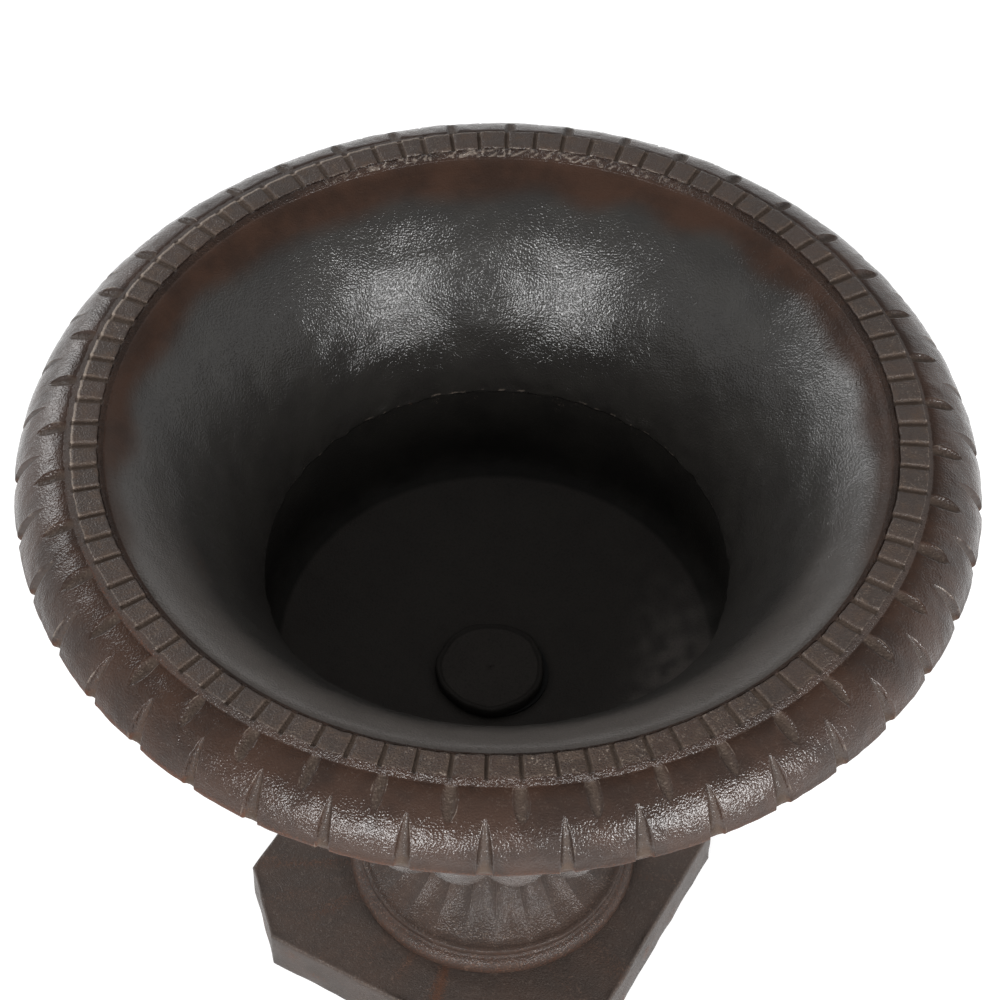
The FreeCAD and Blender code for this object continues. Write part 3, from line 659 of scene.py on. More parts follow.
r = roll_r[:, None, None]
half_in = inner_half[:, None, None] * inner_size[None, :, None]
half_out = outer_half[:, :, None] * outer_size[None, :, None]
next_inner = np.append(inner_angle[1:], inner_angle[0] + TURN)
span_1 = r * (outer_angle - inner_angle)[None, :, None]
span_2 = r * (next_inner - outer_angle)[None, :, None]
from_inner = half_cell(half_in, half_out, span_1)
from_outer = half_cell(half_out, np.roll(half_in, -1, axis=1), span_2)
roll_angle = np.concatenate([
    inner_angle[None, :, None] + from_inner / r,
    outer_angle[None, :, None] + from_outer / r,
], axis=-1)
to_inner = np.concatenate([from_inner, span_2 - from_outer], axis=-1)
to_outer = np.concatenate([span_1 - from_inner, from_outer], axis=-1)
columns = roll_angle.shape[-1]
first_half = np.arange(columns) < columns // 2
half_in_all = np.where(first_half, half_in, np.roll(half_in, -1, axis=1))
depth_in_all = inner_depth[:, None, None] * np.where(
    first_half, inner_size[None, :, None], np.roll(inner_size, -1)[None, :, None]
)
depth_out_all = outer_depth[:, :, None] * outer_size[None, :, None]
print("roll:", GOUGES * columns, "columns")

# %% [markdown]
# The cuts are pressed into the roll along its normals. The casting is also a little out of round, as its outline in
# the photograph shows, and its skin is pillowy between the cuts.

# %% The roll's points
# Degrees from the front, and how far the casting stays inside its circle there, measured off the outline
OUT_OF_ROUND = np.array([
    (-180, 0.0), (-165, 0.8), (-150, 2.0), (-130, 1.2), (-110, 0.0), (-90, 0.0), (-75, 0.9), (-60, 0.6), (-45, 1.2),
    (-25, 0.3), (0, 0.0), (100, 0.0), (125, 0.5), (145, 0.3), (160, 0.0), (180, 0.0),
])
GOUGE_POWER = 3.2


def gouge(distance, half, depth):
    """How deep the cut is, how much it is cut, 0 to 1, and how near its raised edge is, 0 to 1."""
    floor = 1 - np.clip(distance / half, 0, 1) ** GOUGE_POWER
    shown = np.clip(depth / 0.6, 0, 1)
    return depth * floor, floor * shown, hump(distance, half, 0.55) * shown


cut_in, floor_in, edge_in = gouge(to_inner, half_in_all, depth_in_all)
cut_out, floor_out, edge_out = gouge(to_outer, half_out, depth_out_all)
roll_row = row_way[:, None, None]
skin = 0.18 * ripple(roll_angle, roll_row, 256, 24, 9) + 0.08 * ripple(roll_angle, roll_row, 256, 8, 10)
body = step(1.0, 5.0, roll_row) * (1 - step(-2.0, 0.0, roll_row - roll_way[-1]))
right_side = hump(roll_angle, 1.4, 0.6)
pillow = (0.15 + 0.45 * right_side) * (np.clip(to_outer / 10, 0, 1) - 1) * step(4, 22, roll_row - tip_way)
lift = (skin - 0.12 + pillow) * body + 0.12 * (edge_in + edge_out)
lift = np.minimum(lift, 0.05 + 0.25 * (roll_r < 258)[:, None, None])
move = lift - cut_in - cut_out
eased = (cove_radius(roll_angle) - COVE_RADIUS) * (1 - step(0, 7, roll_row))
shrunk = read_round(OUT_OF_ROUND, roll_angle) * np.clip((r - 236) / 24, 0, 1)
roll_radius_all = np.minimum(r + roll_normal[:, 0, None, None] * move, roll_radius) + eased - shrunk
roll_level = rim_z + roll_z[:, None, None] + roll_normal[:, 1, None, None] * move
roll_points = ring_points(roll_radius_all, roll_angle, roll_level).reshape(ROLL_ROWS, -1, 3)
roll_angle = roll_angle.reshape(ROLL_ROWS, -1)
print("roll: radius up to", round(float(roll_radius_all.max()), 2), "mm")

# %% [markdown]
# Dust and rust lie in the cuts and under the shoulder, where the varnish is gone. The cuts' edges are worn in places.

# %% The roll's marks
floor_in_all, floor_out_all = floor_in.reshape(ROLL_ROWS, -1), floor_out.reshape(ROLL_ROWS, -1)
edge_all = (edge_in + edge_out).reshape(ROLL_ROWS, -1)
low = step(roll_way[-1] * 0.74, roll_way[-1] * 0.93, row_way)[:, None]
in_cove = 1 - step(1.5, 7.0, row_way)[:, None]
front_left = hump(roll_angle, -0.75, 0.45)
roll_marks = {
    "dust": np.clip(0.6 * floor_in_all + (0.5 + 0.35 * low) * floor_out_all + 0.1 * in_cove + 0.15 * low, 0, 1),
    "grain": 0.1 + 0.25 * floor_in_all,
    "wear": np.clip(0.65 * edge_all * step(-0.8, 1.2, ripple(roll_angle, row_way[:, None], 256, 12, 41)), 0, 1),
    "rust": np.clip(0.55 * low + 0.25 * front_left + 0.25 * floor_out_all, 0, 1),
    "bloom": np.clip(0.25 * floor_in_all + 0.2 * floor_out_all, 0, 1),
    "pitted": 0.1 * floor_in_all + 0.15 * front_left,
    "gloss": np.clip((1 - 0.75 * in_cove) * (1 - 0.45 * front_left) * (1 - 0.92 * low) - 0.6 * floor_in_all, 0, 1),
}
print("roll's marks:", *roll_marks)

# %% [markdown]
# The underside is plain: the lip, the hollow skirt that fingers grip, the bell's outer wall and the short
# spigot that stands in the bowl's socket. Little of it is seen, so half of the flare's columns are enough.

# %% The underside
UNDER_COLUMNS = FLARE_COLUMNS // 2
WALL = 9.0
wall_line = np.stack(flare_section(np.linspace(0.02, 0.89, 15)), axis=-1) * (1, -1)
wall_line = wall_line + WALL * section_normals(wall_line)
SKIRT_RADIUS = 246.3
SKIRT_ROUND = 14.0
LIP_LINE = [
    (261.2, -37.4), (259.5, -38.3), (259.0, -39.3), (259.0, -41.5), (258.5, -42.7), (257.5, -43.0),
    (252.0, -43.0), (247.0, -43.0), (246.3, -42.4),
]
skirt_line = [
    (SKIRT_RADIUS + SKIRT_ROUND * (math.cos(t) - 1), -32 + SKIRT_ROUND * math.sin(t))
    for t in np.radians(np.linspace(0, 90, 7))
]
spigot_line = [
    (147.0, -101.0), (147.0, -112.0), (147.0, -122.3), (146.3, -123.0), (140.0, -123.0), (135.4, -123.0),
]
under_section = np.array(LIP_LINE + skirt_line + wall_line.tolist() + spigot_line)
under_r, under_z = under_section.T[:, :, None]
under_angle = even_angles(UNDER_COLUMNS)
under_way = row_ways(under_section)
uneven = 0.25 * ripple(under_angle, under_way, 230, 35, 11) * (under_r < 245) * (under_r > 150)
uneven = uneven - read_round(OUT_OF_ROUND, under_angle) * np.clip((under_r - 248) / 12, 0, 1)
under_points = ring_points(under_r + uneven, under_angle, rim_z + under_z)
under_marks = {
    "dust": 0.15, "grain": 0.35, "bloom": 0.1, "pitted": 0.2, "gloss": 0.2,
    "rust": 0.35 + 0.25 * ripple(under_angle, under_way, 230, 60, 12),
}
print("underside:", len(under_section), "rows")

# %% One closed mesh from the four bands
bands = [
    (flare_points, flare_angle[0], flare_angle[0], flare_marks),
    (dentil_points, angle[0], angle[0], dentil_marks),
    (roll_points, roll_angle[0], roll_angle[-1], roll_marks),
    (under_points, under_angle[0], under_angle[0], under_marks),
]
firsts = np.cumsum([0] + [band[0].shape[0] * band[0].shape[1] for band in bands])
bell_faces = []
for k, (points, first_ring, last_ring, marks) in enumerate(bands):
    rows, columns = points.shape[:2]
    bell_faces.extend(grid_faces(firsts[k], rows, columns).tolist())
    following = bands[(k + 1) % len(bands)]
    last_row = firsts[k] + (rows - 1) * columns
    bell_faces.extend(woven_faces(last_row, last_ring, firsts[(k + 1) % len(bands)], following[1]).tolist())
bell_points = np.concatenate([band[0].reshape(-1, 3) for band in bands])
bell_marks = {
    name: np.concatenate([np.broadcast_to(band[3].get(name, 0), band[0].shape[:2]).ravel() for band in bands])
    for name in MARKS
}
bell = piece("flared_bell", bell_points, bell_faces, ["bell"], bell_marks)

# %% [markdown]
# ## The bowl
#
# The bowl carries the bell in a socket, and its own inside is the vase's drum and dished floor. Outside it swells
# into 28 lobes (gadroons). Each row of the grid is the section's radius, less the lobes' relief: between two
# valleys a lobe rises by relief x (1 - (2 share - 1)^2), and columns crowd towards the valleys, which stay sharp.
# An Array modifier could repeat one lobe, but its copies would have to be joined, so all are computed at once.

# %% The bowl's inside and its socket
LOBES = 28
FLOOR_Z = plate_top_z - 8.9
EQUATOR_Z = bowl_bottom_z + 86.0
BELLY_POWER = 2 / 2.2
BELLY_RADIUS = 164
BELLY_FALL = 94
LOBE_RELIEF = 8


def belly(angles, radius, fall, relief):
    """Rows of radius, level and relief of a superellipse from its pole, 0, to its equator, a right angle."""
    across = np.sin(angles) ** BELLY_POWER
    down = np.cos(angles) ** BELLY_POWER
    return np.stack([radius * across, EQUATOR_Z - fall * down, relief * across**1.5], axis=-1)


dish_share = np.linspace(0, 0.94, 18)
dish = np.stack([37 + 91 * dish_share, FLOOR_Z + 32.5 * dish_share**2, 0 * dish_share], axis=-1)
rounding = smooth_line(
    [(128, FLOOR_Z + 32.7), (134.2, FLOOR_Z + 38.6), (138.3, FLOOR_Z + 46), (139.8, FLOOR_Z + 55)], 3
)
inside = [(11.4, FLOOR_Z - 15, 0), (11.4, FLOOR_Z, 0), (24, FLOOR_Z, 0), *dish.tolist(),
          *[(r, z, 0) for r, z in rounding.tolist()],
          *[(139.9 + 0.2 * k, FLOOR_Z + 62 + 8.6 * k, 0) for k in range(5)],
          (141.3, joint_z - 3, 0), (141.6, joint_z - 0.4, 0)]
socket = [(147.3, joint_z - 0.4, 0), (147.3, joint_z + 11, 0), (152.3, socket_top_z, 0),
          (155.2, socket_top_z, 0), (155.8, socket_top_z - 0.4, 0), (156, socket_top_z - 1.2, 0),
          (156, socket_top_z - 10, 0), (156, joint_z - 2.6, 0), (155.6, joint_z - 3.6, 0), (154.6, joint_z - 4, 0)]
print("bowl's inside and socket:", len(inside) + len(socket), "rows")

# %% The bowl's outside and its hollow underside
taper = np.linspace(1, 0, 12)
upper = np.stack([
    BELLY_RADIUS - 12 * taper**2, EQUATOR_Z + (joint_z - 4 - EQUATOR_Z) * taper, LOBE_RELIEF * (1 - 0.8 * taper**3),
], axis=-1)
lowest = math.acos((86 / BELLY_FALL) ** (1 / BELLY_POWER))
lower = belly(np.linspace(math.pi / 2, lowest, 22)[1:], BELLY_RADIUS, BELLY_FALL, LOBE_RELIEF)
skirt_low = math.asin((54 / 147) ** (1 / BELLY_POWER))
skirt_high = math.acos((24 / 85) ** (1 / BELLY_POWER))
skirt = belly(np.linspace(skirt_low, skirt_high, 10), 147, 85, 0)
roof_z = FLOOR_Z - 9
hub = [(37, roof_z, 0), (24, roof_z, 0), (24, bowl_bottom_z, 0), (6.5, bowl_bottom_z, 0), (6.5, FLOOR_Z - 15, 0)]
bowl_section = np.array(inside + socket + upper.tolist() + lower.tolist() + [(54.5, bowl_bottom_z, 0)]
                        + skirt.tolist() + hub)
print("bowl:", len(bowl_section), "rows")

# %% The bowl's points
LOBE_COLUMNS = 16


def crowded_angles(cells, columns, turned):
    """Angles of columns that crowd towards the edges of equal cells, and each one's (2 share - 1)^2 in its cell."""
    share = (1 - np.cos(math.pi * np.arange(columns) / columns)) / 2
    angle = math.radians(turned) - math.pi + TURN * (np.arange(cells)[:, None] + share) / cells
    return angle.reshape(1, -1), np.tile((2 * share - 1) ** 2, cells)[None, :]


bowl_angle, sink = crowded_angles(LOBES, LOBE_COLUMNS, -0.9)
section_r, section_z, relief = bowl_section.T[:, :, None]
way = row_ways(bowl_section[:, :2])
row = np.arange(len(bowl_section))[:, None]
indoors = (row >= 3) & (row < len(inside))
outdoors = (relief > 0) & (section_z > bowl_bottom_z + 4)
near_seam = hump(section_z, joint_z - 3, 10) * indoors
uneven = 0.25 * ripple(bowl_angle, way, 120, 26, 13) + 0.1 * ripple(bowl_angle, way, 120, 10, 14)
uneven = uneven * indoors * step(60, 120, section_r)
uneven = uneven + near_seam * 0.5 * ripple(bowl_angle, way, 140, 10, 15, 40)
skin = np.where(outdoors, 0.25 * ripple(bowl_angle, way, 150, 22, 16) - 0.3, 0)
bowl_radius = section_r - relief * sink + np.where(section_r > 60, skin + uneven * (section_z > FLOOR_Z + 40), 0)
on_dish = indoors & (section_z <= FLOOR_Z + 40) & (section_r > 38)
bowl_level = section_z + np.where(on_dish, uneven, 0)
bowl_points = ring_points(bowl_radius, bowl_angle, bowl_level)
print("bowl:", bowl_points.shape[0] * bowl_points.shape[1], "points")

# %% [markdown]
# The bowl is black and dull inside, paler at the right of the dish, and varnished outside. The crust of the seam with
# the bell goes on a little way down its wall.

# %% The bowl's marks
crust = np.maximum(ripple(bowl_angle, way, 140, 9, 17, 40), 0) * near_seam
pale = hump(bowl_angle, 1.35, 0.5) * hump(section_r, 108, 18) * (1 + ripple(bowl_angle, way, 110, 14, 22))
in_dish = 0.08 + 0.26 * (section_r < 130)
bowl_marks = {
    "black": row < len(inside),
    "dust": np.clip(0.5 * sink * (relief > 2) + 0.3 * crust + 0.105 * outdoors, 0, 1),
    "grain": 0.25 * outdoors + 0.4 * crust,
    "wear": 0.5 * crust * hump(bowl_angle, -1.2, 0.5),
    "rust": 0.25 * outdoors + 0.2 * crust,
    "bloom": (np.clip(0.5 * pale, 0, 0.5) + in_dish) * indoors + 0.25 * outdoors,
    "pitted": 0.2 * outdoors,
    "gloss": np.where(outdoors, 0.8, 0.05) + 0.5 * near_seam,
}
bowl_faces = closed_faces(len(bowl_section), bowl_angle)
bowl = piece("gadrooned_bowl", bowl_points, bowl_faces, ["lower_bowl"], bowl_marks)

# %% [markdown]
# ## The turned pieces: foot, collar and floor plate
#
# Each of these is a section that goes once round the axis and closes on itself. The foot's 24 flutes are hollows
# between sharp arrises: within a flute the radius falls by its depth x (1 - (2 share - 1)^2). A Screw modifier could
# turn the collar and the plate but not the flutes, so one function makes all three.


# %% A turned piece
def turned(name, section, angle, relief, replaced, marks, lump=0.2, shift=0.0):
    """A closed ring of the section's rows, (radius, height), with a relief and a soft ripple of the skin."""
    section = np.array(section, float)
    r, z = section.T[:, :, None]
    uneven = lump * ripple(angle, row_ways(section), r.max(), 18, 21) * np.clip((r - 14) / 20, 0, 1)
    points = ring_points(r - relief + uneven, angle, z) + np.array([shift, 0, 0])
    return piece(name, points, closed_faces(len(section), angle), replaced, marks)


def half_round(radius, middle, half, steps=9):
    """Points of a half round bead that bulges outwards."""
    turn = np.linspace(-math.pi / 2, math.pi / 2, steps)
    return [(radius + half * math.cos(t), middle + half * math.sin(t)) for t in turn]


# %% The foot's section
FLUTES = 24
FLUTE_COLUMNS = 12
FLUTE_DEPTH = 4
FOOT_WALL = 13
FLUTE_KEYS = np.array([
    (83.6, 0.0, 0.35), (70.4, 10.1, 0.8), (58.1, 25.3, 1.0), (49.7, 45.5, 1.0), (45.3, 65.7, 1.0), (43.6, 85.9, 0.8),
    (43.1, 101.0, 0.35),
])
foot_z = plinth_top_z
flute_base_z = foot_z + 21
foot_top_z = tongue_z + 3
flute_line = smooth_line(FLUTE_KEYS[:, :2], 5)
flute_depth = FLUTE_DEPTH * np.interp(flute_line[:, 1], FLUTE_KEYS[:, 1], FLUTE_KEYS[:, 2])
cap_line = smooth_line([(45, -14), (47.6, -10.5), (50, -7), (53.7, -3.6), (59.3, -0.6)], 3) + (0, foot_top_z)
foot_rows = [(79, foot_z, 0), (82, foot_z, 0)] + [(r, z, 0) for r, z in half_round(87, foot_z + 8, 8)]
foot_rows += [(87.5, foot_z + 16, 0), (88, foot_z + 16.5, 0), (88, foot_z + 20.4, 0), (87.5, flute_base_z, 0)]
foot_rows += [(85, flute_base_z, 0)]
foot_rows += [(r, z + flute_base_z, d) for (r, z), d in zip(flute_line, flute_depth)]
foot_rows += [(r, z, 0) for r, z in half_round(45, foot_top_z - 19, 5) + cap_line.tolist()]
foot_rows += [(59.7, foot_top_z, 0), (40.3, foot_top_z, 0), (40.3, foot_top_z - 3.3, 0), (6.5, foot_top_z - 3.3, 0)]
foot_rows += [(6.5, foot_top_z - 15, 0), (30.1, foot_top_z - 15, 0)]
foot_rows += [(r - FOOT_WALL, z + flute_base_z, 0) for r, z in FLUTE_KEYS[::-1, :2]] + [(79, foot_z + 12, 0)]
foot_rows = np.array(foot_rows)
print("foot:", len(foot_rows), "rows")

# %% The foot's flutes and marks
foot_angle, near_arris = crowded_angles(FLUTES, FLUTE_COLUMNS, 3)
hollow = 1 - near_arris
fluted = foot_rows[:, 2:]
low = 1 - step(foot_z, foot_z + 45, foot_rows[:, 1:2])
foot_marks = {
    "dust": np.clip(0.12 * fluted * hollow * (0.4 + low) + 0.2 * low, 0, 1),
    "grain": 0.25,
    "wear": 0.35 * (fluted > 0.5) * hump(hollow, 0, 0.15),
    "rust": 0.2 + 0.3 * low,
    "bloom": 0.25, "pitted": 0.15, "gloss": 0.45,
}
foot = turned("fluted_foot", foot_rows[:, :2], foot_angle, fluted * hollow, ["foot"], foot_marks)

# %% [markdown]
# The collar is the half round ring between bowl and foot. A torus would do for what is seen of it, but a tongue under
# it centres the foot, so it is turned from its section as well.

# %% The collar
COLLAR_COLUMNS = 144
collar_rows = half_round(65, foot_top_z + 7, 7, 13)
collar_rows += [(60, bowl_bottom_z), (6.5, bowl_bottom_z), (6.5, tongue_z), (40, tongue_z), (40, foot_top_z)]
collar_angle = even_angles(COLLAR_COLUMNS)
collar_marks = {"dust": 0.2, "grain": 0.2, "wear": 0.05, "rust": 0.3, "bloom": 0.2, "pitted": 0.15, "gloss": 0.6}
collar = turned("half_round_collar", collar_rows, collar_angle, 0, ["neck_collar"], collar_marks, lump=0.15)

# %% [markdown]
# The plate on the vase's floor closes it over the tie rod. It was cut by hand: it isn't quite round and lies 3 mm off
# the axis. It has a low bead at its edge and a plain middle. Three waves round its edge give the cut's slight corners.

# %% The plate on the floor
PLATE_COLUMNS = 120
PLATE_SHIFT = -3.0
low_z = FLOOR_Z + 1.5
plate_rows = np.array([
    (0.6, FLOOR_Z - 14), (10.5, FLOOR_Z - 14), (11, FLOOR_Z - 13.5), (11, low_z), (32, low_z), (33.6, low_z + 0.3),
    (34, low_z + 1.2), (33.9, low_z + 4.6), (33.5, low_z + 6.4), (32.8, low_z + 7.1), (31.9, low_z + 7.4),
    (30.9, low_z + 7.1), (30.1, low_z + 6.3), (29.3, low_z + 6.0), (26, low_z + 5.9), (20, low_z + 5.8),
    (12, low_z + 5.8), (4, low_z + 5.9), (0.6, low_z + 5.9),
])
plate_angle = even_angles(PLATE_COLUMNS)
corners = 0.4 * np.cos(5 * plate_angle + 0.6) + 0.3 * np.cos(3 * plate_angle - 1) + 0.2 * np.cos(11 * plate_angle)
trim = (corners.max() - corners) * np.clip((plate_rows[:, :1] - 20) / 12, 0, 1)
plate_marks = {"black": 1.0, "bloom": 0.25 + 0.15 * (plate_rows[:, :1] < 30)}
plate = turned("floor_plate", plate_rows, plate_angle, trim, ["clamp_plate"], plate_marks, shift=PLATE_SHIFT)

# %% [markdown]
# ## The plinth
#
# The plinth is a square with its corners cut off, a shallow tray turned over. Its rows are outlines set in from the
# edge, and on top they pass over into the round eye under the foot. It stands a little off the vase's axis. A cube
# with bevelled edges could stand for it, but its walls are thin and its skin is uneven, so it is computed too.

# %% The outline of a square with cut corners
PLINTH_SIDE = 256.0
PLINTH_CORNER = 39.5
PLINTH_TURN = math.radians(61.5)
PLINTH_SHIFT = (-5.9, 3.3)
CORNER_STEPS = 10
EDGE_STEPS = 22


def cut_square(inset):
    """Points round a square whose edges are set in: a quarter, which is a cut corner and a side, and its turns."""
    half, corner = PLINTH_SIDE / 2 - inset, max(PLINTH_CORNER - inset, 1)
    turn = np.linspace(0, math.pi / 2, CORNER_STEPS, endpoint=False)
    share = np.arange(EDGE_STEPS) / EDGE_STEPS
    cut = half - corner + corner * np.stack([np.cos(turn), np.sin(turn)]) / (np.cos(turn) + np.sin(turn))
    side = np.stack([(half - corner) * (1 - 2 * share), np.full(EDGE_STEPS, half)])
    x, y = np.hstack([cut, side])
    return np.concatenate([(x, y), (-y, x), (-x, -y), (y, -x)], axis=1).T


def round_eye(radius):
    """A circle with its points at the same directions as the square's."""
    return unit(cut_square(0)) * radius


print("plinth:", 4 * (CORNER_STEPS + EDGE_STEPS), "points to a row")

# %% The plinth's rows
EDGE_ROUND = 3
PLINTH_WALL = 9
edge_turn = np.radians((22, 45, 68, 90))
rounded_z = plinth_top_z - EDGE_ROUND
plinth_outer = [(0.5, cut_square(0.8)), (1.2, cut_square(0))]
plinth_outer += [(z, cut_square(0)) for z in np.linspace(4, rounded_z, 8)]
plinth_outer += [
    (rounded_z + EDGE_ROUND * math.sin(t), cut_square(EDGE_ROUND * (1 - math.cos(t)))) for t in edge_turn
]
plinth_outer += [
    (plinth_top_z, cut_square(3.5) * (1 - s) + round_eye(62) * s) for s in (0.06, 0.2, 0.4, 0.6, 0.8, 1)
]
plinth_inner = [
    (plinth_top_z, round_eye(60)), (plinth_top_z - PLINTH_WALL, round_eye(60)),
    (plinth_top_z - PLINTH_WALL, cut_square(PLINTH_WALL + 0.5)),
    (plinth_top_z - PLINTH_WALL - 3, cut_square(PLINTH_WALL)), (0, cut_square(PLINTH_WALL)), (0, cut_square(2)),
]
plinth_rows = plinth_outer + plinth_inner
print("plinth:", len(plinth_rows), "rows")

# %% The plinth's points and marks
flat = np.stack([outline for _, outline in plinth_rows])
plinth_level = np.array([z for z, _ in plinth_rows])[:, None]
spread = np.arctan2(flat[..., 1], flat[..., 0])
lumps = ripple(spread, plinth_level + flat[..., 0] * 0.3, 130, 24, 31)
skin = np.where(np.arange(len(plinth_rows))[:, None] < len(plinth_outer) - 1, 0.35 * lumps - 0.4, 0)
on_top = plinth_level > plinth_top_z - 0.1
flat = flat + unit(flat) * (skin * ~on_top)[..., None]
plinth_level = np.broadcast_to(plinth_level + skin * on_top, flat.shape[:2])
across, along = (math.cos(PLINTH_TURN), math.sin(PLINTH_TURN)), (-math.sin(PLINTH_TURN), math.cos(PLINTH_TURN))
flat = flat @ np.array([across, along]) + PLINTH_SHIFT
plinth_points = np.concatenate([flat, plinth_level[..., None]], axis=-1)
rows, columns = flat.shape[:2]
# The row after the last is the first again
plinth_faces = (grid_faces(0, rows + 1, columns) % (rows * columns)).tolist()
edge = np.zeros((rows, 1))
edge[9:14, 0] = 0.25, 0.4, 0.4, 0.25, 0.1
plinth_marks = {
    "grain": 0.15, "bloom": 0.4, "pitted": 0.1, "gloss": 0.35,
    "dust": 0.18 + 0.12 * lumps, "wear": edge, "rust": 0.25 + 0.2 * lumps,
}
plinth = piece("square_plinth", plinth_points, plinth_faces, ["plinth"], plinth_marks)

# %% [markdown]
# ## Parts kept from the CAD model
#
# The caulking, the pins, the packing and the tie-rod's fittings already have their shape and only get a finish.
# Iron cement is rammed in wet and dries rough and rust brown. Wrought pins, hammered over by hand, are dark and finely
# dented. Packing rubber is black and dull. Turned steel, as the rod, bar, washer and nuts have it, is bright and even.


# %% Finishes of the parts kept
def plain_finish(name, dark, light, size_mm, roughness, metallic=0.0, bump=0.3):
    """A finish of two mixed colours with a bump of the same size."""
    finish, add = new_finish(name)
    cloud = add("TexNoise", {}, add("TexCoord", {}, out="Object"), per_metre(size_mm), 3.0, 0.6)
    share = add("MapRange", SMOOTH, cloud, 0.35, 0.65)
    shader = add(
        "BsdfPrincipled", {}, Base_Color=add("Mix", RGBA, share, colour(dark), colour(light)), Metallic=metallic,
        Roughness=add("MapRange", SMOOTH, cloud, 0.3, 0.7, roughness, roughness + 0.15),
        Normal=add("Bump", {}, Strength=bump, Distance=0.3 * MM, Height=cloud),
    )
    add("OutputMaterial", {}, shader)
    return finish


cement = plain_finish("rammed_iron_cement", "#3b2a20", "#6b4a35", 2.0, 0.8, bump=0.8)
wrought = plain_finish("hammered_wrought_iron", "#3a332e", "#5a4a40", 1.5, 0.5, metallic=0.6)
rubber = plain_finish("black_packing_rubber", "#141414", "#1e1e1d", 2.5, 0.7)
steel = plain_finish("plain_turned_steel", "#6f7174", "#8d8f92", 1.0, 0.35, metallic=1.0)
print("finishes:", cement.name, wrought.name, rubber.name, steel.name)
for node, finish in (
    ("joint_caulking", cement), ("joint_pins", wrought), ("plate_packing", rubber), ("tie_rod", steel),
    ("bridge_bar", steel), ("bridge_washer", steel), ("tie_nut", steel), ("lock_nut", steel),
):
    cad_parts[node].data.materials.clear()
    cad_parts[node].data.materials.append(finish)

# %% [markdown]
# ## Floor, light and camera
#
# The vase stands on a pale floor. The paper is made to glow for the camera and in mirrors only, so that it looks white
# and still shows the vase's shadow, without more light on the vase.

# %% The floor
floor_mesh = bpy.data.meshes.new("studio_floor")
FLOOR_HALF = 6.0
corners = [(FLOOR_HALF * x, FLOOR_HALF * y, 0) for x, y in ((-1, -1), (1, -1), (1, 1), (-1, 1))]
floor_mesh.from_pydata(corners, [], [(0, 1, 2, 3)])
floor = bpy.data.objects.new("studio_floor", floor_mesh)
bpy.context.scene.collection.objects.link(floor)
floor_paper, add = new_finish("white_floor_paper")
paper = add("BsdfPrincipled", {}, Base_Color=colour("#c8c8c8"), Roughness=0.9, Specular_IOR_Level=0.0)
rays = add("LightPath", {}).node.outputs
shown = add("Math", LARGER, rays["Is Camera Ray"], rays["Is Glossy Ray"])
shown = add("Math", LARGER, shown, rays["Is Transmission Ray"])
glow = add("Emission", {}, Strength=add("Math", TIMES, shown, 0.7))
add("OutputMaterial", {}, add("AddShader", {}, paper, glow))
floor.data.materials.append(floor_paper)
print("floor:", 2 * FLOOR_HALF, "m wide")

# %% [markdown]
# All round is a white studio. The camera sees plain white. Glossy paint mirrors white walls and a darker ceiling, and
# matt surfaces get a plain, even light. A photographed panorama could do this, but plain walls show the forms better.

# %% The studio's surroundings
world = bpy.data.worlds.new("white_studio")
bpy.context.scene.world = world
world.use_nodes = True
world.node_tree.nodes.clear()
add = partial(add_node, world.node_tree)
rays = add("LightPath", {}).node.outputs
mirrored = add("Math", LARGER, rays["Is Glossy Ray"], rays["Is Transmission Ray"])
upwards = add("SeparateXYZ", {}, add("TexCoord", {}, out="Generated"), out=2)
walls = add("MapRange", SMOOTH, upwards, 0.25, 0.7, 1.0, 0.3)
strength = add("Math", LARGER, rays["Is Camera Ray"], add("MapRange", SMOOTH, mirrored, 0.0, 1.0, 0.4, walls))
add("OutputWorld", {}, add("Background", {}, (1, 1, 1, 1), strength))
print("world:", world.name)

# %% [markdown]
# Two soft boxes behind the camera make the bright patches on the paint, and a weak one at the back left makes the sheen
# on the roll's left and on the right wall. Their places were worked out from where those patches are mirrored.


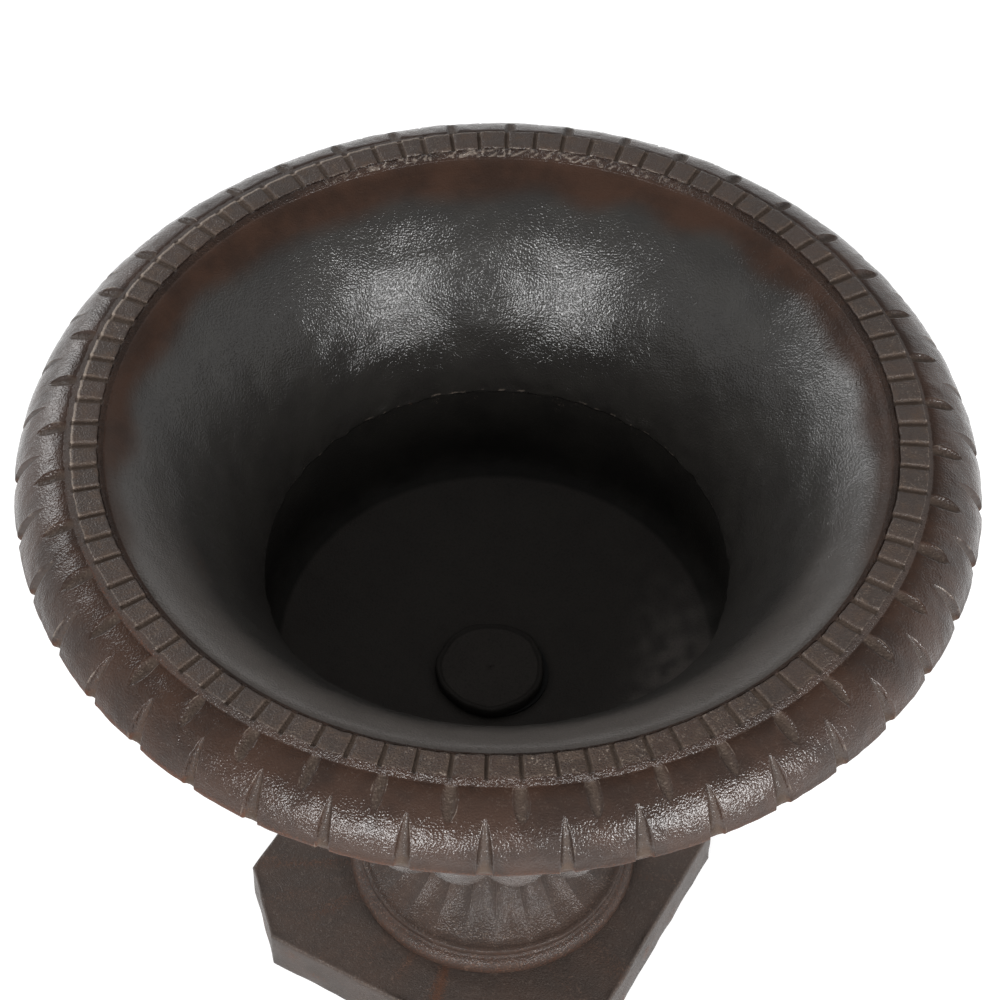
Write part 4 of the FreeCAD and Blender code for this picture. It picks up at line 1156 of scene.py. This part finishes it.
# %% The soft boxes
def soft_box(name, azimuth, elevation, distance, side, radiance):
    """A square lamp that looks at the rim's middle; its power is pi x area x radiance."""
    lamp = bpy.data.lights.new(name, "AREA")
    lamp.shape = "SQUARE"
    lamp.size = side
    lamp.energy = math.pi * side**2 * radiance
    made = bpy.data.objects.new(name, lamp)
    a, e = math.radians(azimuth), math.radians(elevation)
    way = Vector((math.sin(a) * math.cos(e), math.cos(a) * math.cos(e), math.sin(e)))
    made.location = Vector((0, 0, rim_z * MM)) + way * distance
    made.rotation_euler = way.to_track_quat("Z", "Y").to_euler()
    bpy.context.scene.collection.objects.link(made)
    print(name, "at", [round(v, 2) for v in made.location])


soft_box("left_soft_box", -157, 16, 2.0, 0.64, 19.0)
soft_box("right_soft_box", 141, 16, 2.0, 0.64, 19.0)
soft_box("back_soft_box", -50, 27, 2.2, 0.9, 6.0)

# %% [markdown]
# The camera looks down at the vase from about eye height. Its place and lens were solved from the rim's circles,
# so the render and the photograph can be laid over each other.

# %% The camera
RING_RADIUS = 0.232
CAMERA_DISTANCE = 6.0 * RING_RADIUS
CAMERA_RISE = 0.8462508
TURNED, TIPPED, ROLLED = -0.00083, -0.0301376, -0.0158588
FOCAL_SHARE = 2.567418
SENSOR_WIDTH = 36.0
ahead = Vector((0, math.cos(CAMERA_RISE), -math.sin(CAMERA_RISE)))
right = Vector((1, 0, 0))
up = right.cross(ahead)
place = Matrix.Rotation(TURNED, 3, up) @ Matrix.Rotation(TIPPED, 3, right)
right, up, ahead = place @ right, place @ up, place @ ahead
place = Matrix.Rotation(ROLLED, 3, ahead)
right, up = place @ right, place @ up
lens = bpy.data.cameras.new("photographer")
lens.sensor_width = SENSOR_WIDTH
lens.lens = SENSOR_WIDTH * FOCAL_SHARE
camera = bpy.data.objects.new("photographer", lens)
camera.matrix_world = Matrix((
    (right.x, up.x, -ahead.x, 0),
    (right.y, up.y, -ahead.y, -CAMERA_DISTANCE * math.cos(CAMERA_RISE)),
    (right.z, up.z, -ahead.z, CAMERA_DISTANCE * math.sin(CAMERA_RISE) + rim_z * MM),
    (0, 0, 0, 1),
))
bpy.context.scene.collection.objects.link(camera)
bpy.context.scene.camera = camera
bpy.context.scene.view_settings.view_transform = "Standard"
print("camera at", [round(v, 3) for v in camera.matrix_world.translation], "lens", round(lens.lens, 1), "mm")
